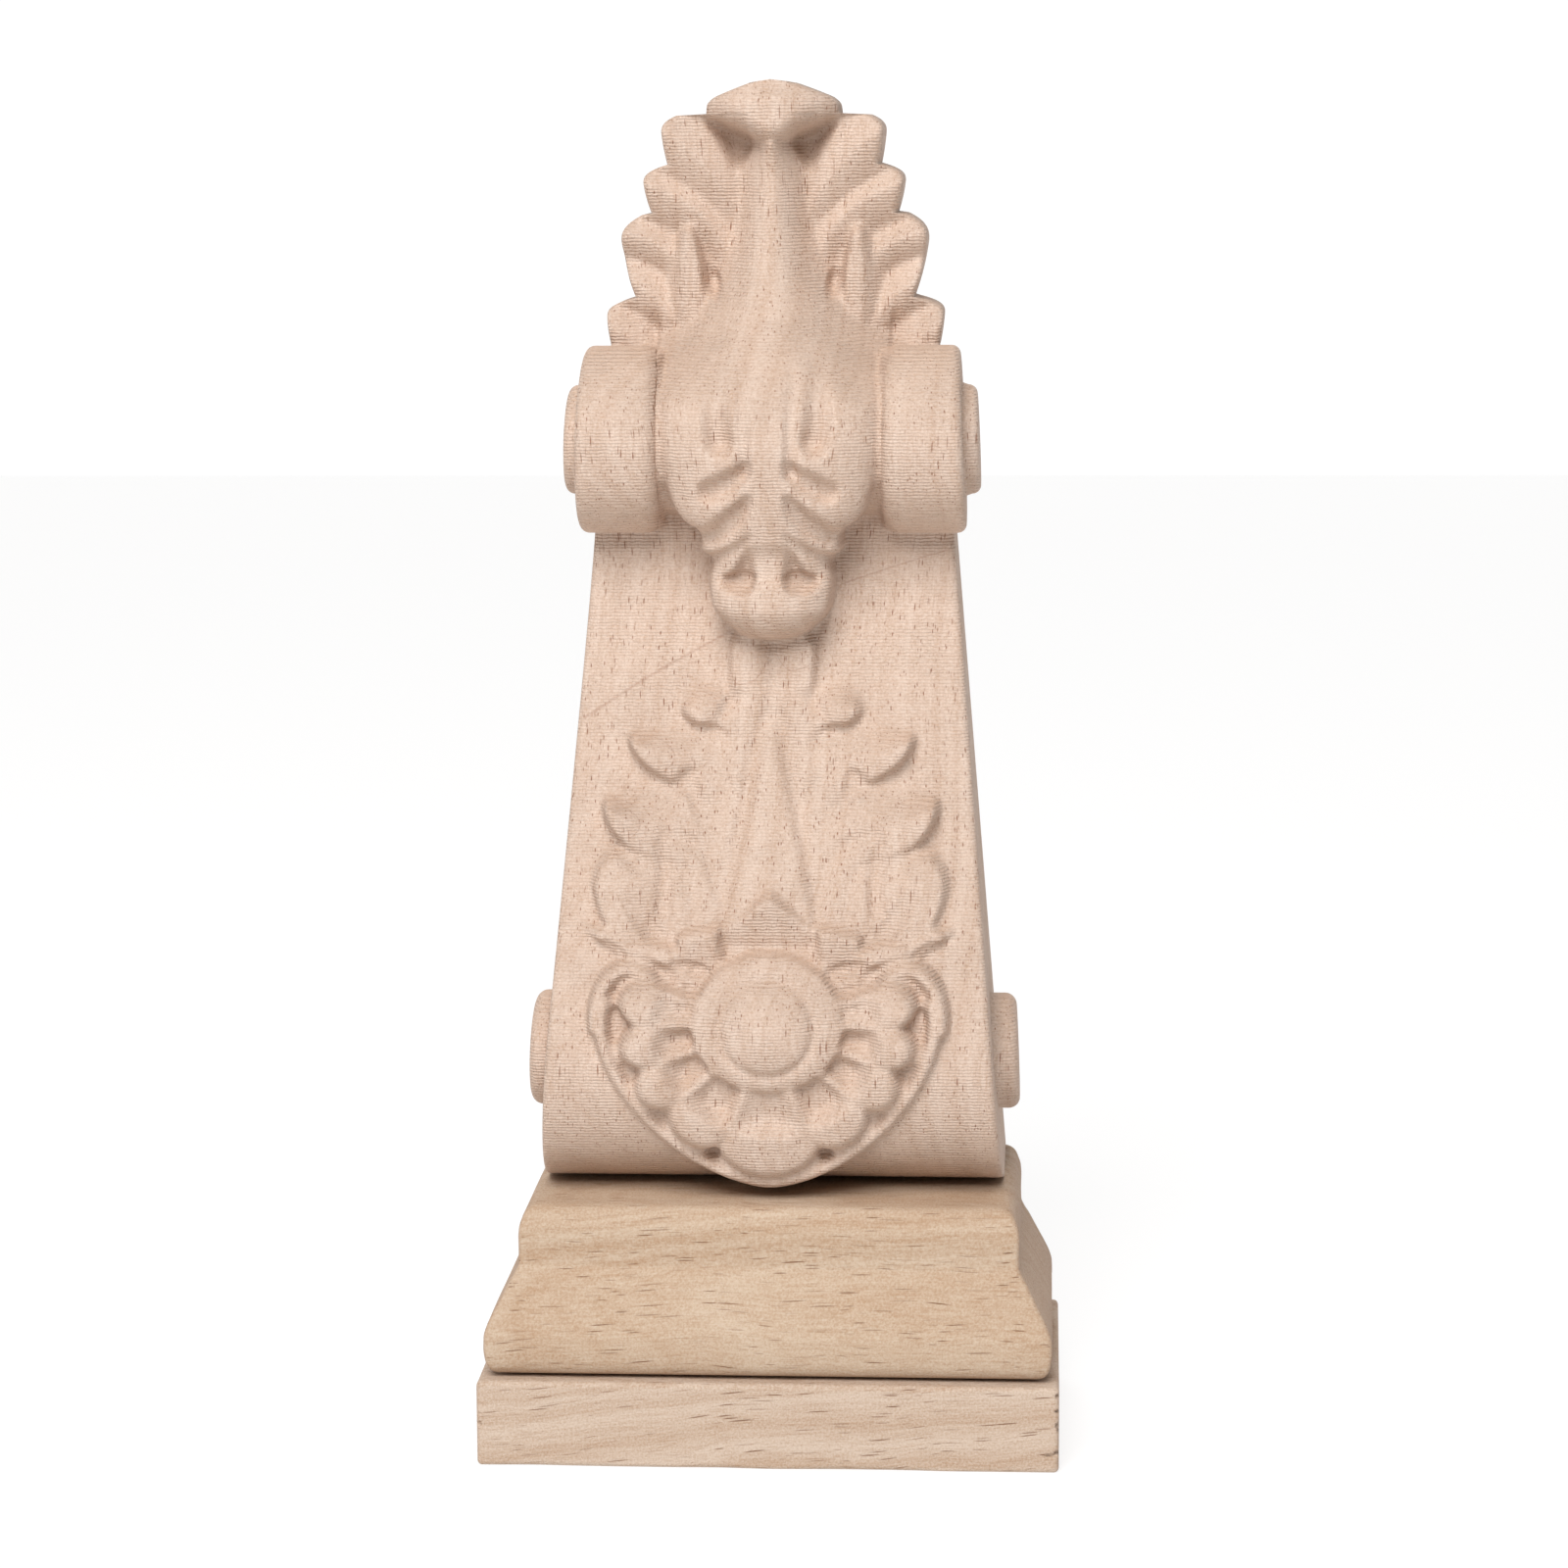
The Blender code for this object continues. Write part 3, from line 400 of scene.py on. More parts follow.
# how far the leaf's sides fall and how square its section is; the stem above it is softer and wider
DRAPE_FALL, DRAPE_SQUARE = 5.5, 2.2
STEM_FROM, STEM_TO, STEM_CLEAR, STEM_SPREAD = 153, 164, 160, 1.5
DRAPE_SCOOPS = (
    # long flute with a lip at its foot, and the valley beside the middle rib
    ((7.0, 161.0, 1.6, 0.0), (8.0, 153.0, 3.0, 1.0), (6.7, 148.6, 2.9, 2.5)),
    ((3.6, 159.0, 1.0, 0.1), (3.6, 151.0, 1.7, 0.7), (3.3, 144.0, 1.5, 1.0)),
    # upper and lower leaf hollows, shaded under their upper edges
    ((2.9, 145.0, 1.2, 1.0), (4.8, 142.6, 2.7, 2.1), (8.4, 141.3, 2.4, 1.7)),
    ((2.9, 140.0, 1.2, 1.3), (4.8, 136.8, 2.8, 2.6), (8.3, 134.7, 2.2, 1.6)),
    # cut under the lowest leaf, and the ledge below the notches
    ((2.6, 134.6, 0.7, 1.0), (5.8, 131.6, 1.0, 2.8), (9.6, 131.0, 0.8, 2.0)),
    ((2.7, 127.9, 1.5, 2.6), (4.3, 127.5, 2.5, 3.0), (5.9, 127.9, 1.5, 2.6)),
)
NOTCH = ((2.4, 134.8, 1.0), (7.0, 127.6, 2.3), (1.5, 127.6, 2.3))

# acanthus on the hollow: main leaves with a crisp lower edge, then softer mounds, then cut veins
HOLLOW_LEAVES = (
    ((1.6, 105.0, 2.4, 0.4), (3.0, 111.0, 3.8, 1.0), (3.2, 116.4, 3.6, 2.3)),
    ((3.0, 101.0, 1.6, 0.0), (4.6, 109.0, 2.4, 0.5), (10.2, 108.9, 2.8, 2.5)),
    ((4.5, 90.0, 2.6, 0.0), (6.0, 103.4, 3.6, 0.2), (14.6, 99.6, 5.4, 1.6), (20.0, 104.2, 1.0, 4.0)),
    ((6.5, 82.0, 2.6, 0.0), (8.6, 95.4, 4.6, 0.3), (18.0, 88.4, 6.6, 1.8), (23.4, 94.8, 1.2, 4.4)),
    ((15.5, 72.0, 3.0, 0.6), (20.6, 77.6, 4.4, 1.9), (21.6, 83.6, 4.8, 2.6)),
    ((14.0, 77.0, 1.6, 0.4), (14.6, 87.0, 2.4, 0.8), (18.8, 88.6, 2.0, 1.4)),
)
HOLLOW_MOUNDS = (
    ((3.6, 78.0, 4.6, 0.4), (6.6, 90.0, 4.0, 1.0), (4.4, 104.0, 2.4, 0.5)),
    ((8.6, 76.0, 4.6, 0.6), (9.8, 86.0, 3.8, 1.1), (12.6, 96.0, 3.0, 1.0)),
    ((12.4, 76.0, 4.2, 0.8), (13.4, 84.0, 3.2, 1.2), (17.0, 90.0, 2.4, 1.0)),
)
HOLLOW_VEINS = (
    ((11.8, 99.4, 1.0, 1.1), (13.6, 98.8, 1.2, 1.5), (12.9, 97.4, 0.8, 0.8)),
    ((11.9, 98.8, 0.9, 1.0), (11.6, 96.0, 1.1, 1.2), (9.6, 92.4, 0.8, 0.2)),
    ((8.0, 84.0, 1.1, 0.4), (9.0, 90.0, 1.3, 0.8), (15.6, 91.0, 1.0, 0.4)),
    ((15.8, 80.0, 1.2, 0.8), (14.6, 85.0, 1.5, 1.1), (16.2, 89.6, 0.9, 0.7)),
    ((21.4, 84.0, 1.0, 0.1), (19.8, 80.0, 1.8, 0.9), (16.6, 76.6, 1.4, 1.4)),
    ((4.6, 110.8, 0.8, 0.3), (6.2, 110.2, 1.3, 1.1), (7.2, 108.0, 0.8, 0.8)),
    ((5.4, 95.0, 1.1, 0.3), (7.4, 101.0, 1.2, 0.6), (12.6, 101.4, 1.0, 0.2)),
)
# share of a leaf's reach over which its lower edge rises, and how much more its upper side takes
LEAF_CRISP, LEAF_SOFT = 0.24, 0.76
SPEAR_TIP, SPEAR_SLOPE, SPEAR_FOOT = 109.5, 0.225, 80.0
SPEAR_LIFT, SPEAR_GROOVE = 1.3, 0.75
LEAVES_FROM, LEAVES_TO = 70, 119

# shell on the lower scroll, its ring and dome, and each petal: its middle and half spread in degrees, and
# how deep its bowl is; the lowest petal is longer
SHELL = {"height": 64.6, "across": 25.5, "down": 25.8, "square": 1.65, "top": 68.0}
SHELL_BED = ((38.6, 32.4), (42, 33.6), (48, 35.4), (54, 37.0), (60, 37.6), (66, 36.8), (72, 34.4), (84, 29.6))
RIM_EDGE, RIM_HEIGHT = 0.91, 2.3
RIM_CURL = ((25.0, 64.0, 1.25, 2.3), (25.8, 72.6, 1.3, 2.4), (18.6, 74.6, 1.3, 2.4), (16.4, 69.4, 0.9, 2.2))
RIM_TAIL = ((16.6, 69.8, 0.8, 2.2), (13.6, 67.2, 0.7, 2.4), (10.2, 68.4, 0.6, 2.6))
RING_ACROSS, RING_UP, DOME_RADIUS = 11.0, 9.9, 6.9
RING_FOOT, RING_RISE, RING_SQUARE = 2.2, 1.7, 3.2
DOME_RISE, DOME_LINE = 1.3, 0.55
PETALS = ((9.0, 10.0, 1.5), (-10.0, 9.6, 3.0), (-30.0, 11.0, 3.2), (-55.5, 15.0, 3.0), (-90.0, 19.8, 1.7))
PETAL_END, PETAL_NOTCH, PETAL_EDGE, LOWEST_LONGER = 22.0, 2.6, 1.9, 1.9
# pointed leaf above the ring: its peak, half width, how far its edge falls and its lift, and where and how
# far it leans in; then the same for the leaf on each side of it, with the slopes at its two ends
OGEE_PEAK, OGEE_HALF, OGEE_FALL, OGEE_LIFT = 84.2, 6.8, 5.4, 3.9
OGEE_LEAN_FROM, OGEE_LEAN_OVER, OGEE_LEAN = 81.6, 6.4, 3.6
BESIDE_TOP, BESIDE_FALL, BESIDE_LIFT = 80.4, 0.2, 3.7
BESIDE_LEAN_FROM, BESIDE_LEAN_OVER, BESIDE_LEAN = 77.8, 4.6, 2.4
BESIDE_INNER, BESIDE_OUTER = (6.6, 7.4), (14.2, 12.8)
BESIDE_FROM, BESIDE_TO = 7.2, 13.2
SIDE_LEAVES = (
    ((12.4, 72.4, 1.8, 1.8), (16.0, 74.8, 2.0, 2.6), (19.4, 74.9, 1.2, 2.4)),
    ((18.4, 71.6, 1.6, 1.4), (21.0, 75.4, 2.6, 2.2), (26.2, 77.4, 0.6, 2.2)),
)
SIDE_HOLLOWS = (
    ((20.6, 72.8, 0.9, 0.8), (22.4, 74.6, 1.3, 1.6), (24.4, 75.6, 0.7, 1.0)),
    ((9.4, 71.4, 1.2, 1.0), (11.6, 72.2, 1.3, 1.6), (13.6, 72.6, 0.9, 0.8)),
)

# cutter and sanding: the radii that the hollows and the edges are left with
CUTTER, SANDED = 0.8, 0.8
# strokes of the sanding, how many of them reached everything, and the low leaves that got the rest
STROKES, STROKES_OVERALL = 20, 5
WORN_FROM, WORN_TO = (80, 86), (119, 116)
# the field of cut depths: how far it reaches past the middle line and past both ends, and its pitch
FIELD_HALF, FIELD_MARGIN, FIELD_PITCH = 38.0, 1.5, 0.15
SHEET_COLUMNS, SHEET_ROWS, HEIGHT_SAMPLES, KEPT_SHARE = 420, 900, 6000, 0.22
DRUM_STEPS, EYE_STEPS = 120, 80


def dome(distance):
    """round section: 1 in the middle, 0 at the edge and beyond"""
    return np.sqrt(np.clip(1 - distance**2, 0, 1))


def blend(a, b, soft):
    """larger of two, with a soft bend of some width where they meet"""
    near = np.maximum(soft - np.abs(a - b), 0) / soft
    return np.maximum(a, b) + near**2 * np.clip(np.minimum(a, b), 0, soft) / 4


def carved_line(x, z, line, left=1.0, right=1.0, steps=40):
    """a bent line's distance over its reach, its lift there, and 1 on its left to -1 on its right"""
    t = np.linspace(0, 1, steps)[:, None]
    last = len(line) - 1
    points = sum(math.comb(last, k) * t**k * (1 - t)**(last - k) * np.array(line[k], float)
                 for k in range(last + 1))
    ways = np.gradient(points[:, :2], axis=0)
    ways /= np.linalg.norm(ways, axis=1, keepdims=True)
    reach = points[:, 2].max() * max(left, right)
    low, high = points[:, :2].min(0) - reach, points[:, :2].max(0) + reach
    near = (x > low[0]) & (x < high[0]) & (z > low[1]) & (z < high[1])
    across, up = x[near], z[near]
    best, lift, turned = np.full(across.shape, 99.0), np.zeros(across.shape), np.zeros(across.shape)
    for (line_x, line_z, radius, rise), (way_x, way_z) in zip(points, ways):
        dx, dz = across - line_x, up - line_z
        distance = np.hypot(dx, dz)
        sine = (way_x * dz - way_z * dx) / np.maximum(distance, 1e-6)
        share = distance / (radius * ((left + right) / 2 + (left - right) / 2 * sine))
        closer = share < best
        best[closer], lift[closer], turned[closer] = share[closer], rise, sine[closer]
    shares, lifts, sides = np.full(x.shape, 99.0), np.zeros(x.shape), np.zeros(x.shape)
    shares[near], lifts[near], sides[near] = best, lift, turned
    return shares, lifts, sides


def drum(z, scroll, extra=0.0):
    """front of a scroll, seen from the side, and nowhere above or below it"""
    radius = scroll["radius"] + extra
    rise = z - scroll["height"]
    front = scroll["depth"] + np.sqrt(np.maximum(radius**2 - rise**2, 0))
    return np.where(np.abs(rise) < radius + 0.01, front, NOWHERE)


def ground(z):
    """depth of the uncarved front: lower scroll, hollow neck, then the crest's back leaf"""
    body = np.where(z < HOLLOW[0][0], drum(z, SCROLL), through(z, HOLLOW))
    return np.where(z > TOP_SCROLL["height"], through(z, CREST_BACK), body)


def half_width(z):
    """half of the block's outline, seen from the front"""
    side = FOOT_HALF + (NECK_HALF - FOOT_HALF) * (z - BODY_FOOT) / (NECK_HEIGHT - BODY_FOOT)
    outline = side - NECK_LEAN * np.maximum(z - NECK_LEAN_FROM, 0)
    for foot, top, reach, foot_cut in CREST_LOBES:
        t = np.clip((z - foot) / (top - foot), 0, 1)
        nose = np.clip((t - LOBE_NOSE_FROM) / (1 - LOBE_NOSE_FROM), 0, 1)
        nose = 1 - foot_cut * (1 - t)**2 - LOBE_NOSE_CUT * nose**3
        outline = np.where((z > foot) & (z <= top), reach * nose, outline)
    hood_foot = CREST_LOBES[-1][1]
    return np.where(z > hood_foot, through(z, HOOD_OUTLINE), outline)


def pit(x, z, corners, soft=1.4):
    """depth of a three-cornered pit: a sloping floor through its corners, with soft walls"""
    (x0, z0, d0), (x1, z1, d1), (x2, z2, d2) = corners
    twice = (x1 - x0) * (z2 - z0) - (x2 - x0) * (z1 - z0)
    b = ((x - x0) * (z2 - z0) - (x2 - x0) * (z - z0)) / twice
    c = ((x1 - x0) * (z - z0) - (x - x0) * (z1 - z0)) / twice
    a = 1 - b - c
    sides = (math.hypot(x2 - x1, z2 - z1), math.hypot(x2 - x0, z2 - z0), math.hypot(x1 - x0, z1 - z0))
    inside = np.minimum(np.minimum(a / sides[0], b / sides[1]), c / sides[2]) * abs(twice)
    return (a * d0 + b * d1 + c * d2) * ramp(0, soft, inside)


def leaf(x, z, line):
    """low leaf whose upper side fades into the ground, and whose lower side and tip end in a crisp step"""
    share, rise, side = carved_line(x, z, line, 1.5, 1.0)
    edge = LEAF_CRISP + LEAF_SOFT * np.clip(side + 0.2, 0, 1)
    return rise * ramp(0, 1, np.clip(1 - share, 0, 1) / edge) * (0.8 + 0.2 * dome(np.minimum(share, 1)))


def hollow_leaves(x, z):
    """acanthus on the hollow front, as height over the ground"""
    lift = 0 * x
    for line in HOLLOW_MOUNDS:
        share, rise = carved_line(x, z, line)[:2]
        lift = blend(lift, rise * ramp(0, 1, 1 - share), 0.4)
    for line in HOLLOW_LEAVES:
        lift = blend(lift, leaf(x, z, line), 0.2)
    for line in HOLLOW_VEINS:
        share, depth = carved_line(x, z, line)[:2]
        lift = lift - depth * dome(share) * ramp(0, 0.8, lift)
    half = np.clip(SPEAR_TIP - z, 0.01, 99) * SPEAR_SLOPE
    beside = (x - half - 0.6) / 1.0
    groove = SPEAR_GROOVE * np.exp(-beside**2) * ramp(SPEAR_FOOT, SPEAR_FOOT + 3, z) * ramp(0, 0.6, half)
    spear = SPEAR_LIFT * ramp(-0.6, 1.4, half - x) * ramp(0, 1.6, half)
    return np.maximum(lift - groove, spear)


def ogee_leaves(x, z):
    """pointed leaf above the ring and the leaves beside it, as height over the ground, and where they lie"""
    edge = OGEE_PEAK - OGEE_FALL * np.clip(x / OGEE_HALF, 0, 1.4)**0.8 - z
    inside = (edge > 1.0) & (x < OGEE_HALF)
    leant = OGEE_LEAN * np.clip((OGEE_LEAN_FROM - z) / OGEE_LEAN_OVER, 0, 1)
    lift = (OGEE_LIFT * ramp(-0.3, 1.6, edge) - leant) * ramp(OGEE_HALF + 0.6, OGEE_HALF - 0.6, x)
    edge = BESIDE_TOP - BESIDE_FALL * x - z
    inside = inside | ((edge > 0.9) & (x > BESIDE_FROM) & (x < BESIDE_TO))
    leant = BESIDE_LEAN * np.clip((BESIDE_LEAN_FROM - z) / BESIDE_LEAN_OVER, 0, 1)
    beside = ramp(*BESIDE_INNER, x) * ramp(*BESIDE_OUTER, x)
    lift = np.maximum(lift, (BESIDE_LIFT * ramp(-0.2, 1.5, edge) - leant) * beside)
    lift = lift - 0.5 * np.exp(-((x - 7.0) / 0.5)**2) * ramp(78.6, 77.6, z)
    for line in SIDE_LEAVES:
        share, rise = carved_line(x, z, line)[:2]
        lift = np.maximum(lift, rise * ramp(0, 0.5, 1 - share))
    for line in SIDE_HOLLOWS:
        share, depth = carved_line(x, z, line)[:2]
        lift = lift - depth * dome(share)
    return np.maximum(lift, 0) * (z > SHELL["height"]), inside


def petals(x, rise, bed):
    """spoon-shaped petals round the ring: a pit at the root, a rounded knob at the end"""
    angle = np.degrees(np.arctan2(rise, np.maximum(x, 1e-6)))
    out = np.hypot(x, rise)
    face = np.full(x.shape, NOWHERE)
    for place, (middle, spread, deep) in enumerate(PETALS):
        turn = (angle - middle) / spread
        across = np.abs(turn)
        lowest = place == len(PETALS) - 1
        end = PETAL_END + (LOWEST_LONGER if lowest else 0) - PETAL_NOTCH * across**2.2
        knob = (0.8 * (1 - across**2) + 0.4 * dome((out - 18.8) / 3.8) - 0.3) * ramp(14.8, 17.2, out)
        bowl = deep * (1 - np.clip(across, 0, 1)**2) * ramp(17.6, 13.2, out)
        edge = dome(1 - np.clip((end - out) / PETAL_EDGE, 0, 1))
        spoon = bed + 0.2 + (2.9 + knob) * edge - bowl
        face = np.where((across <= 1) & (out < end), np.maximum(face, spoon), face)
    return face


def shell(x, z):
    """rim, petals, ring and dome on the lower scroll, as depth from the wall"""
    rise = z - SHELL["height"]
    power = SHELL["square"]
    edge = (np.abs(x / SHELL["across"])**power + np.abs(rise / SHELL["down"])**power)**(1 / power)
    bed = through(z, SHELL_BED)
    half_rim = (1 - RIM_EDGE) / 2
    rim = bed + RIM_HEIGHT * dome((edge - 1 + half_rim) / half_rim)
    face = np.where((edge < 1) & (z < SHELL["top"]), np.where(edge > RIM_EDGE, rim, bed - 0.5), NOWHERE)
    for line in (RIM_CURL, RIM_TAIL):
        share, lift = carved_line(x, z, line)[:2]
        face = np.where(share < 1, np.maximum(face, bed + lift * dome(share)), face)
    face = np.maximum(face, petals(x, rise, bed))
    ring = np.hypot(x / RING_ACROSS, rise / RING_UP)
    swell = RING_RISE * np.sqrt(np.clip(1 - ring**RING_SQUARE, 0, 1))
    face = np.where(ring < 1, bed + RING_FOOT + swell, face)
    cap = np.hypot(x, rise + 0.3) / DOME_RADIUS
    line = DOME_LINE * np.exp(-((cap - 1) / 0.09)**2)
    return face - line + DOME_RISE * np.clip(1 - cap**2, 0, 1)


def drape(x, z):
    """leaf over the upper scroll and its stem, as depth from the wall"""
    half = through(z, DRAPE_HALF)
    spine = through(z, DRAPE_SPINE)
    back = through(z, CREST_BACK)
    side = np.clip(x / half, 0, 1)
    round_side = spine - DRAPE_FALL * (1 - np.sqrt(1 - side**DRAPE_SQUARE))
    soft_side = back + (spine - back) * (1 - np.clip(x / (STEM_SPREAD * half), 0, 1)**2)**2
    above = ramp(STEM_FROM, STEM_TO, z)
    face = round_side * (1 - above) + soft_side * above
    for line in DRAPE_SCOOPS:
        share, depth = carved_line(x, z, line)[:2]
        face = face - depth * ramp(0, 0.85, 1 - share) * ramp(MIDRIB - 0.7, MIDRIB + 0.4, x)
    face = face - pit(x, z, NOTCH)
    reach = np.where(z > STEM_CLEAR, STEM_SPREAD * half, half)
    return np.where((x < reach) & (z > DRAPE_HALF[0][0]) & (z < DRAPE_HALF[-1][0]), face, NOWHERE)


def crest(x, z):
    """lobes of the crest and its hooded tip, as depth from the wall"""
    back = through(z, CREST_BACK)
    face = back
    for line, left, right in CREST_RIDGES:
        share, rise, side = carved_line(x, z, line, left, right)
        slope = np.clip(1 - share, 0, 1)
        fall = 1 - np.clip(share, 0, 1)**1.7
        face = blend(face, back + rise * np.where(side > 0, slope + (fall - slope) * (1 - side), fall), 0.5)
    share, rise, side = carved_line(x, z, TONGUE, 1.0, 1.5, 120)
    edge = 0.4 + 0.6 * np.clip(0.2 - side, 0, 1)
    face = blend(face, back + rise * ramp(0, 1, np.clip(1 - share, 0, 1) / edge), 0.5)
    face = face - pit(x, z, HOOD_PIT, 2.2)
    lip = through(x, HOOD_LIP)
    crown = HOOD_SIDE + HOOD_RISE * np.clip(1 - (x / HOOD_HALF)**2, 0, 1)
    crown = crown - HOOD_FALL * ramp(HOOD_FALL_FROM, TOTAL_HEIGHT, z)
    roll = dome(1 - np.clip((z - lip) / HOOD_ROLL, 0, 1))
    hood = back + (crown - back) * roll
    face = np.where(z > lip, np.maximum(np.where(z > HOOD_OUTLINE[0][0], hood, face), hood), face)
    return np.where(z > CREST_FROM, face, NOWHERE)


def carved_front(x, z):
    """depth of the carved front from the wall, before the cutter's own shape is counted"""
    base = np.where(z > CREST_FROM, NOWHERE, ground(z))
    on_hollow = (z > LEAVES_FROM) & (z < LEAVES_TO)
    low, inside = ogee_leaves(x, z)
    leaves = np.where(inside, low, np.maximum(hollow_leaves(x, z), low))
    face = base + np.where(on_hollow, leaves, 0)
    core = drum(z, TOP_SCROLL, -CORE_DROP)
    inner = np.clip((x - TOP_DRUM_INNER) / DRUM_ROUND, 0, 1)
    rounded = drum(z, TOP_SCROLL, -BEHIND_DRUM_DROP) - DRUM_ROUND * (1 - dome(1 - inner))
    behind_drum = np.where(x > TOP_DRUM_INNER, rounded, NOWHERE)
    for form in (shell(x, z), crest(x, z), core, behind_drum, drape(x, z)):
        face = np.maximum(face, form)
    for line in CREST_CUTS:
        share, depth = carved_line(x, z, line)[:2]
        face = face - depth * np.clip(1 - share**2, 0, 1)
    return face


def swept_by_ball(face, radius, outwards):
    """surface that a ball's centre reaches, or the one that it leaves, as it runs over a field of depths"""
    reach = int(radius / FIELD_PITCH)
    padded = np.pad(face, reach, mode="edge")
    rows, columns = face.shape
    swept = None
    for i in range(-reach, reach + 1):
        for j in range(-reach, reach + 1):
            apart = math.hypot(i, j) * FIELD_PITCH
            if apart > radius:
                continue
            cap = math.sqrt(radius**2 - apart**2)
            part = padded[reach + i:reach + i + rows, reach + j:reach + j + columns]
            part = part + cap if outwards else part - cap
            if swept is None:
                swept = part
            else:
                swept = np.maximum(swept, part) if outwards else np.minimum(swept, part)
    return swept


right_x = np.arange(0.0, FIELD_HALF, FIELD_PITCH)
field_z = np.arange(BODY_FOOT - FIELD_MARGIN, TOTAL_HEIGHT + FIELD_MARGIN, FIELD_PITCH)
right_half = carved_front(*np.meshgrid(right_x, np.maximum(field_z, BODY_FOOT)))
field_x = np.concatenate((-right_x[:0:-1], right_x))
field = np.concatenate((right_half[:, :0:-1], right_half), 1)
field = swept_by_ball(swept_by_ball(field, CUTTER, True), CUTTER, False)
field = swept_by_ball(swept_by_ball(field, SANDED, False), SANDED, True)
worn_share = (ramp(*WORN_FROM, field_z) * ramp(*WORN_TO, field_z))[1:-1, None]
for stroke in range(STROKES):
    middle = field[1:-1, 1:-1]
    rubbed = (4 * middle + field[2:, 1:-1] + field[:-2, 1:-1] + field[1:-1, 2:] + field[1:-1, :-2]) / 8
    middle += (rubbed - middle) * (1 if stroke < STROKES_OVERALL else worn_share)


def field_depth(x, z):
    """depth of the cut front at any places, read from the field"""
    column = np.clip((x - field_x[0]) / FIELD_PITCH, 0, len(field_x) - 1.001)
    row = np.clip((z - field_z[0]) / FIELD_PITCH, 0, len(field_z) - 1.001)
    i, j = row.astype(int), column.astype(int)
    down, over = row - i, column - j
    return ((1 - down) * ((1 - over) * field[i, j] + over * field[i, j + 1])
            + down * ((1 - over) * field[i + 1, j] + over * field[i + 1, j + 1]))


def make_block():
    """carved front as a fine sheet, thinned where it is plain, then carried back to the wall"""
    sheet = bmesh.new()
    bmesh.ops.create_grid(sheet, x_segments=SHEET_COLUMNS, y_segments=SHEET_ROWS - 1, size=1)
    heights = np.linspace(BODY_FOOT, TOTAL_HEIGHT, HEIGHT_SAMPLES)
    depths = np.maximum(ground(heights), drum(heights, TOP_SCROLL))
    travelled = np.concatenate(([0], np.cumsum(np.hypot(np.diff(heights), np.diff(depths)))))
    rows = np.interp(np.linspace(0, travelled[-1], SHEET_ROWS), travelled, heights)
    corners = np.array([vertex.co for vertex in sheet.verts])
    z = rows[np.rint((corners[:, 1] + 1) / 2 * (SHEET_ROWS - 1)).astype(int)]
    outer = half_width(z)
    x = corners[:, 0] * outer
    rounded = ARRIS * (1 - dome(np.clip((np.abs(x) - outer + ARRIS) / ARRIS, 0, 1)))
    depth = field_depth(x, z) - np.where(outer > 3 * ARRIS, rounded, 0)
    from_points(sheet, np.stack((x, -depth, z), 1))
    mesh = bpy.data.meshes.new("carved_sheet")
    sheet.to_mesh(mesh)
    sheet.free()
    carrier = bpy.data.objects.new("carved_sheet", mesh)
    bpy.context.collection.objects.link(carrier)
    thin = carrier.modifiers.new("thin", "DECIMATE")
    thin.ratio = KEPT_SHARE
    seen = carrier.evaluated_get(bpy.context.evaluated_depsgraph_get())
    block = bmesh.new()
    block.from_mesh(seen.to_mesh())
    seen.to_mesh_clear()
    bpy.data.objects.remove(carrier)
    foot = (BODY_FOOT - ORIGIN_HEIGHT) * MM
    for vertex in block.verts:
        if vertex.co.z < foot + 0.05 * MM:
            vertex.co.z = foot
    rim = [edge for edge in block.edges if edge.is_boundary]
    walls = bmesh.ops.extrude_edge_only(block, edges=rim)["geom"]
    for item in walls:
        if isinstance(item, bmesh.types.BMVert):
            item.co.y = 0
    bmesh.ops.contextual_create(block, geom=[edge for edge in block.edges if edge.is_boundary])
    bmesh.ops.triangulate(block, faces=[f for f in block.faces if len(f.verts) > 4], ngon_method="EAR_CLIP")
    return block


def turned(profile, steps, scroll, side):
    """closed solid turned round a sideways axis, from (across, radius) points that run inside to outside"""
    solid = bmesh.new()
    points = [solid.verts.new((x, 0, radius)) for x, radius in profile]
    edges = [solid.edges.new(pair) for pair in zip(points, points[1:])]
    bmesh.ops.spin(solid, geom=points + edges, cent=(0, 0, 0), axis=(1, 0, 0), angle=2 * math.pi,
                   steps=steps, use_merge=True)
    bmesh.ops.remove_doubles(solid, verts=solid.verts, dist=0.001)
    lean = (FOOT_HALF - NECK_HALF) / (NECK_HEIGHT - BODY_FOOT) * 0.5
    places = []
    for vertex in solid.verts:
        x, y, z = vertex.co
        x -= lean * z * ramp(profile[0][0], profile[-1][0], x)
        places.append((side * x, y - scroll["depth"], z + scroll["height"]))
    from_points(solid, places)
    return solid


def rounded_profile(inner, parts, arris, inner_round=0.0, steps=8):
    """(across, radius) points of a stepped boss whose outer edges are rubbed round"""
    points = [(inner, 0.0)]
    for turn in np.linspace(0, math.pi / 2, steps):
        points.append((inner + inner_round * (1 - math.cos(turn)),
                       parts[0][1] - inner_round * (1 - math.sin(turn))))
    for (x, radius), after in zip(parts, parts[1:] + ((parts[-1][0], 0.0),)):
        r = min(arris, 0.45 * radius)
        for turn in np.linspace(0, math.pi / 2, steps):
            points.append((x - r + r * math.sin(turn), radius - r + r * math.cos(turn)))
        points.append((x, after[1] + (0.35 if after[1] else 0.0)))
    return points


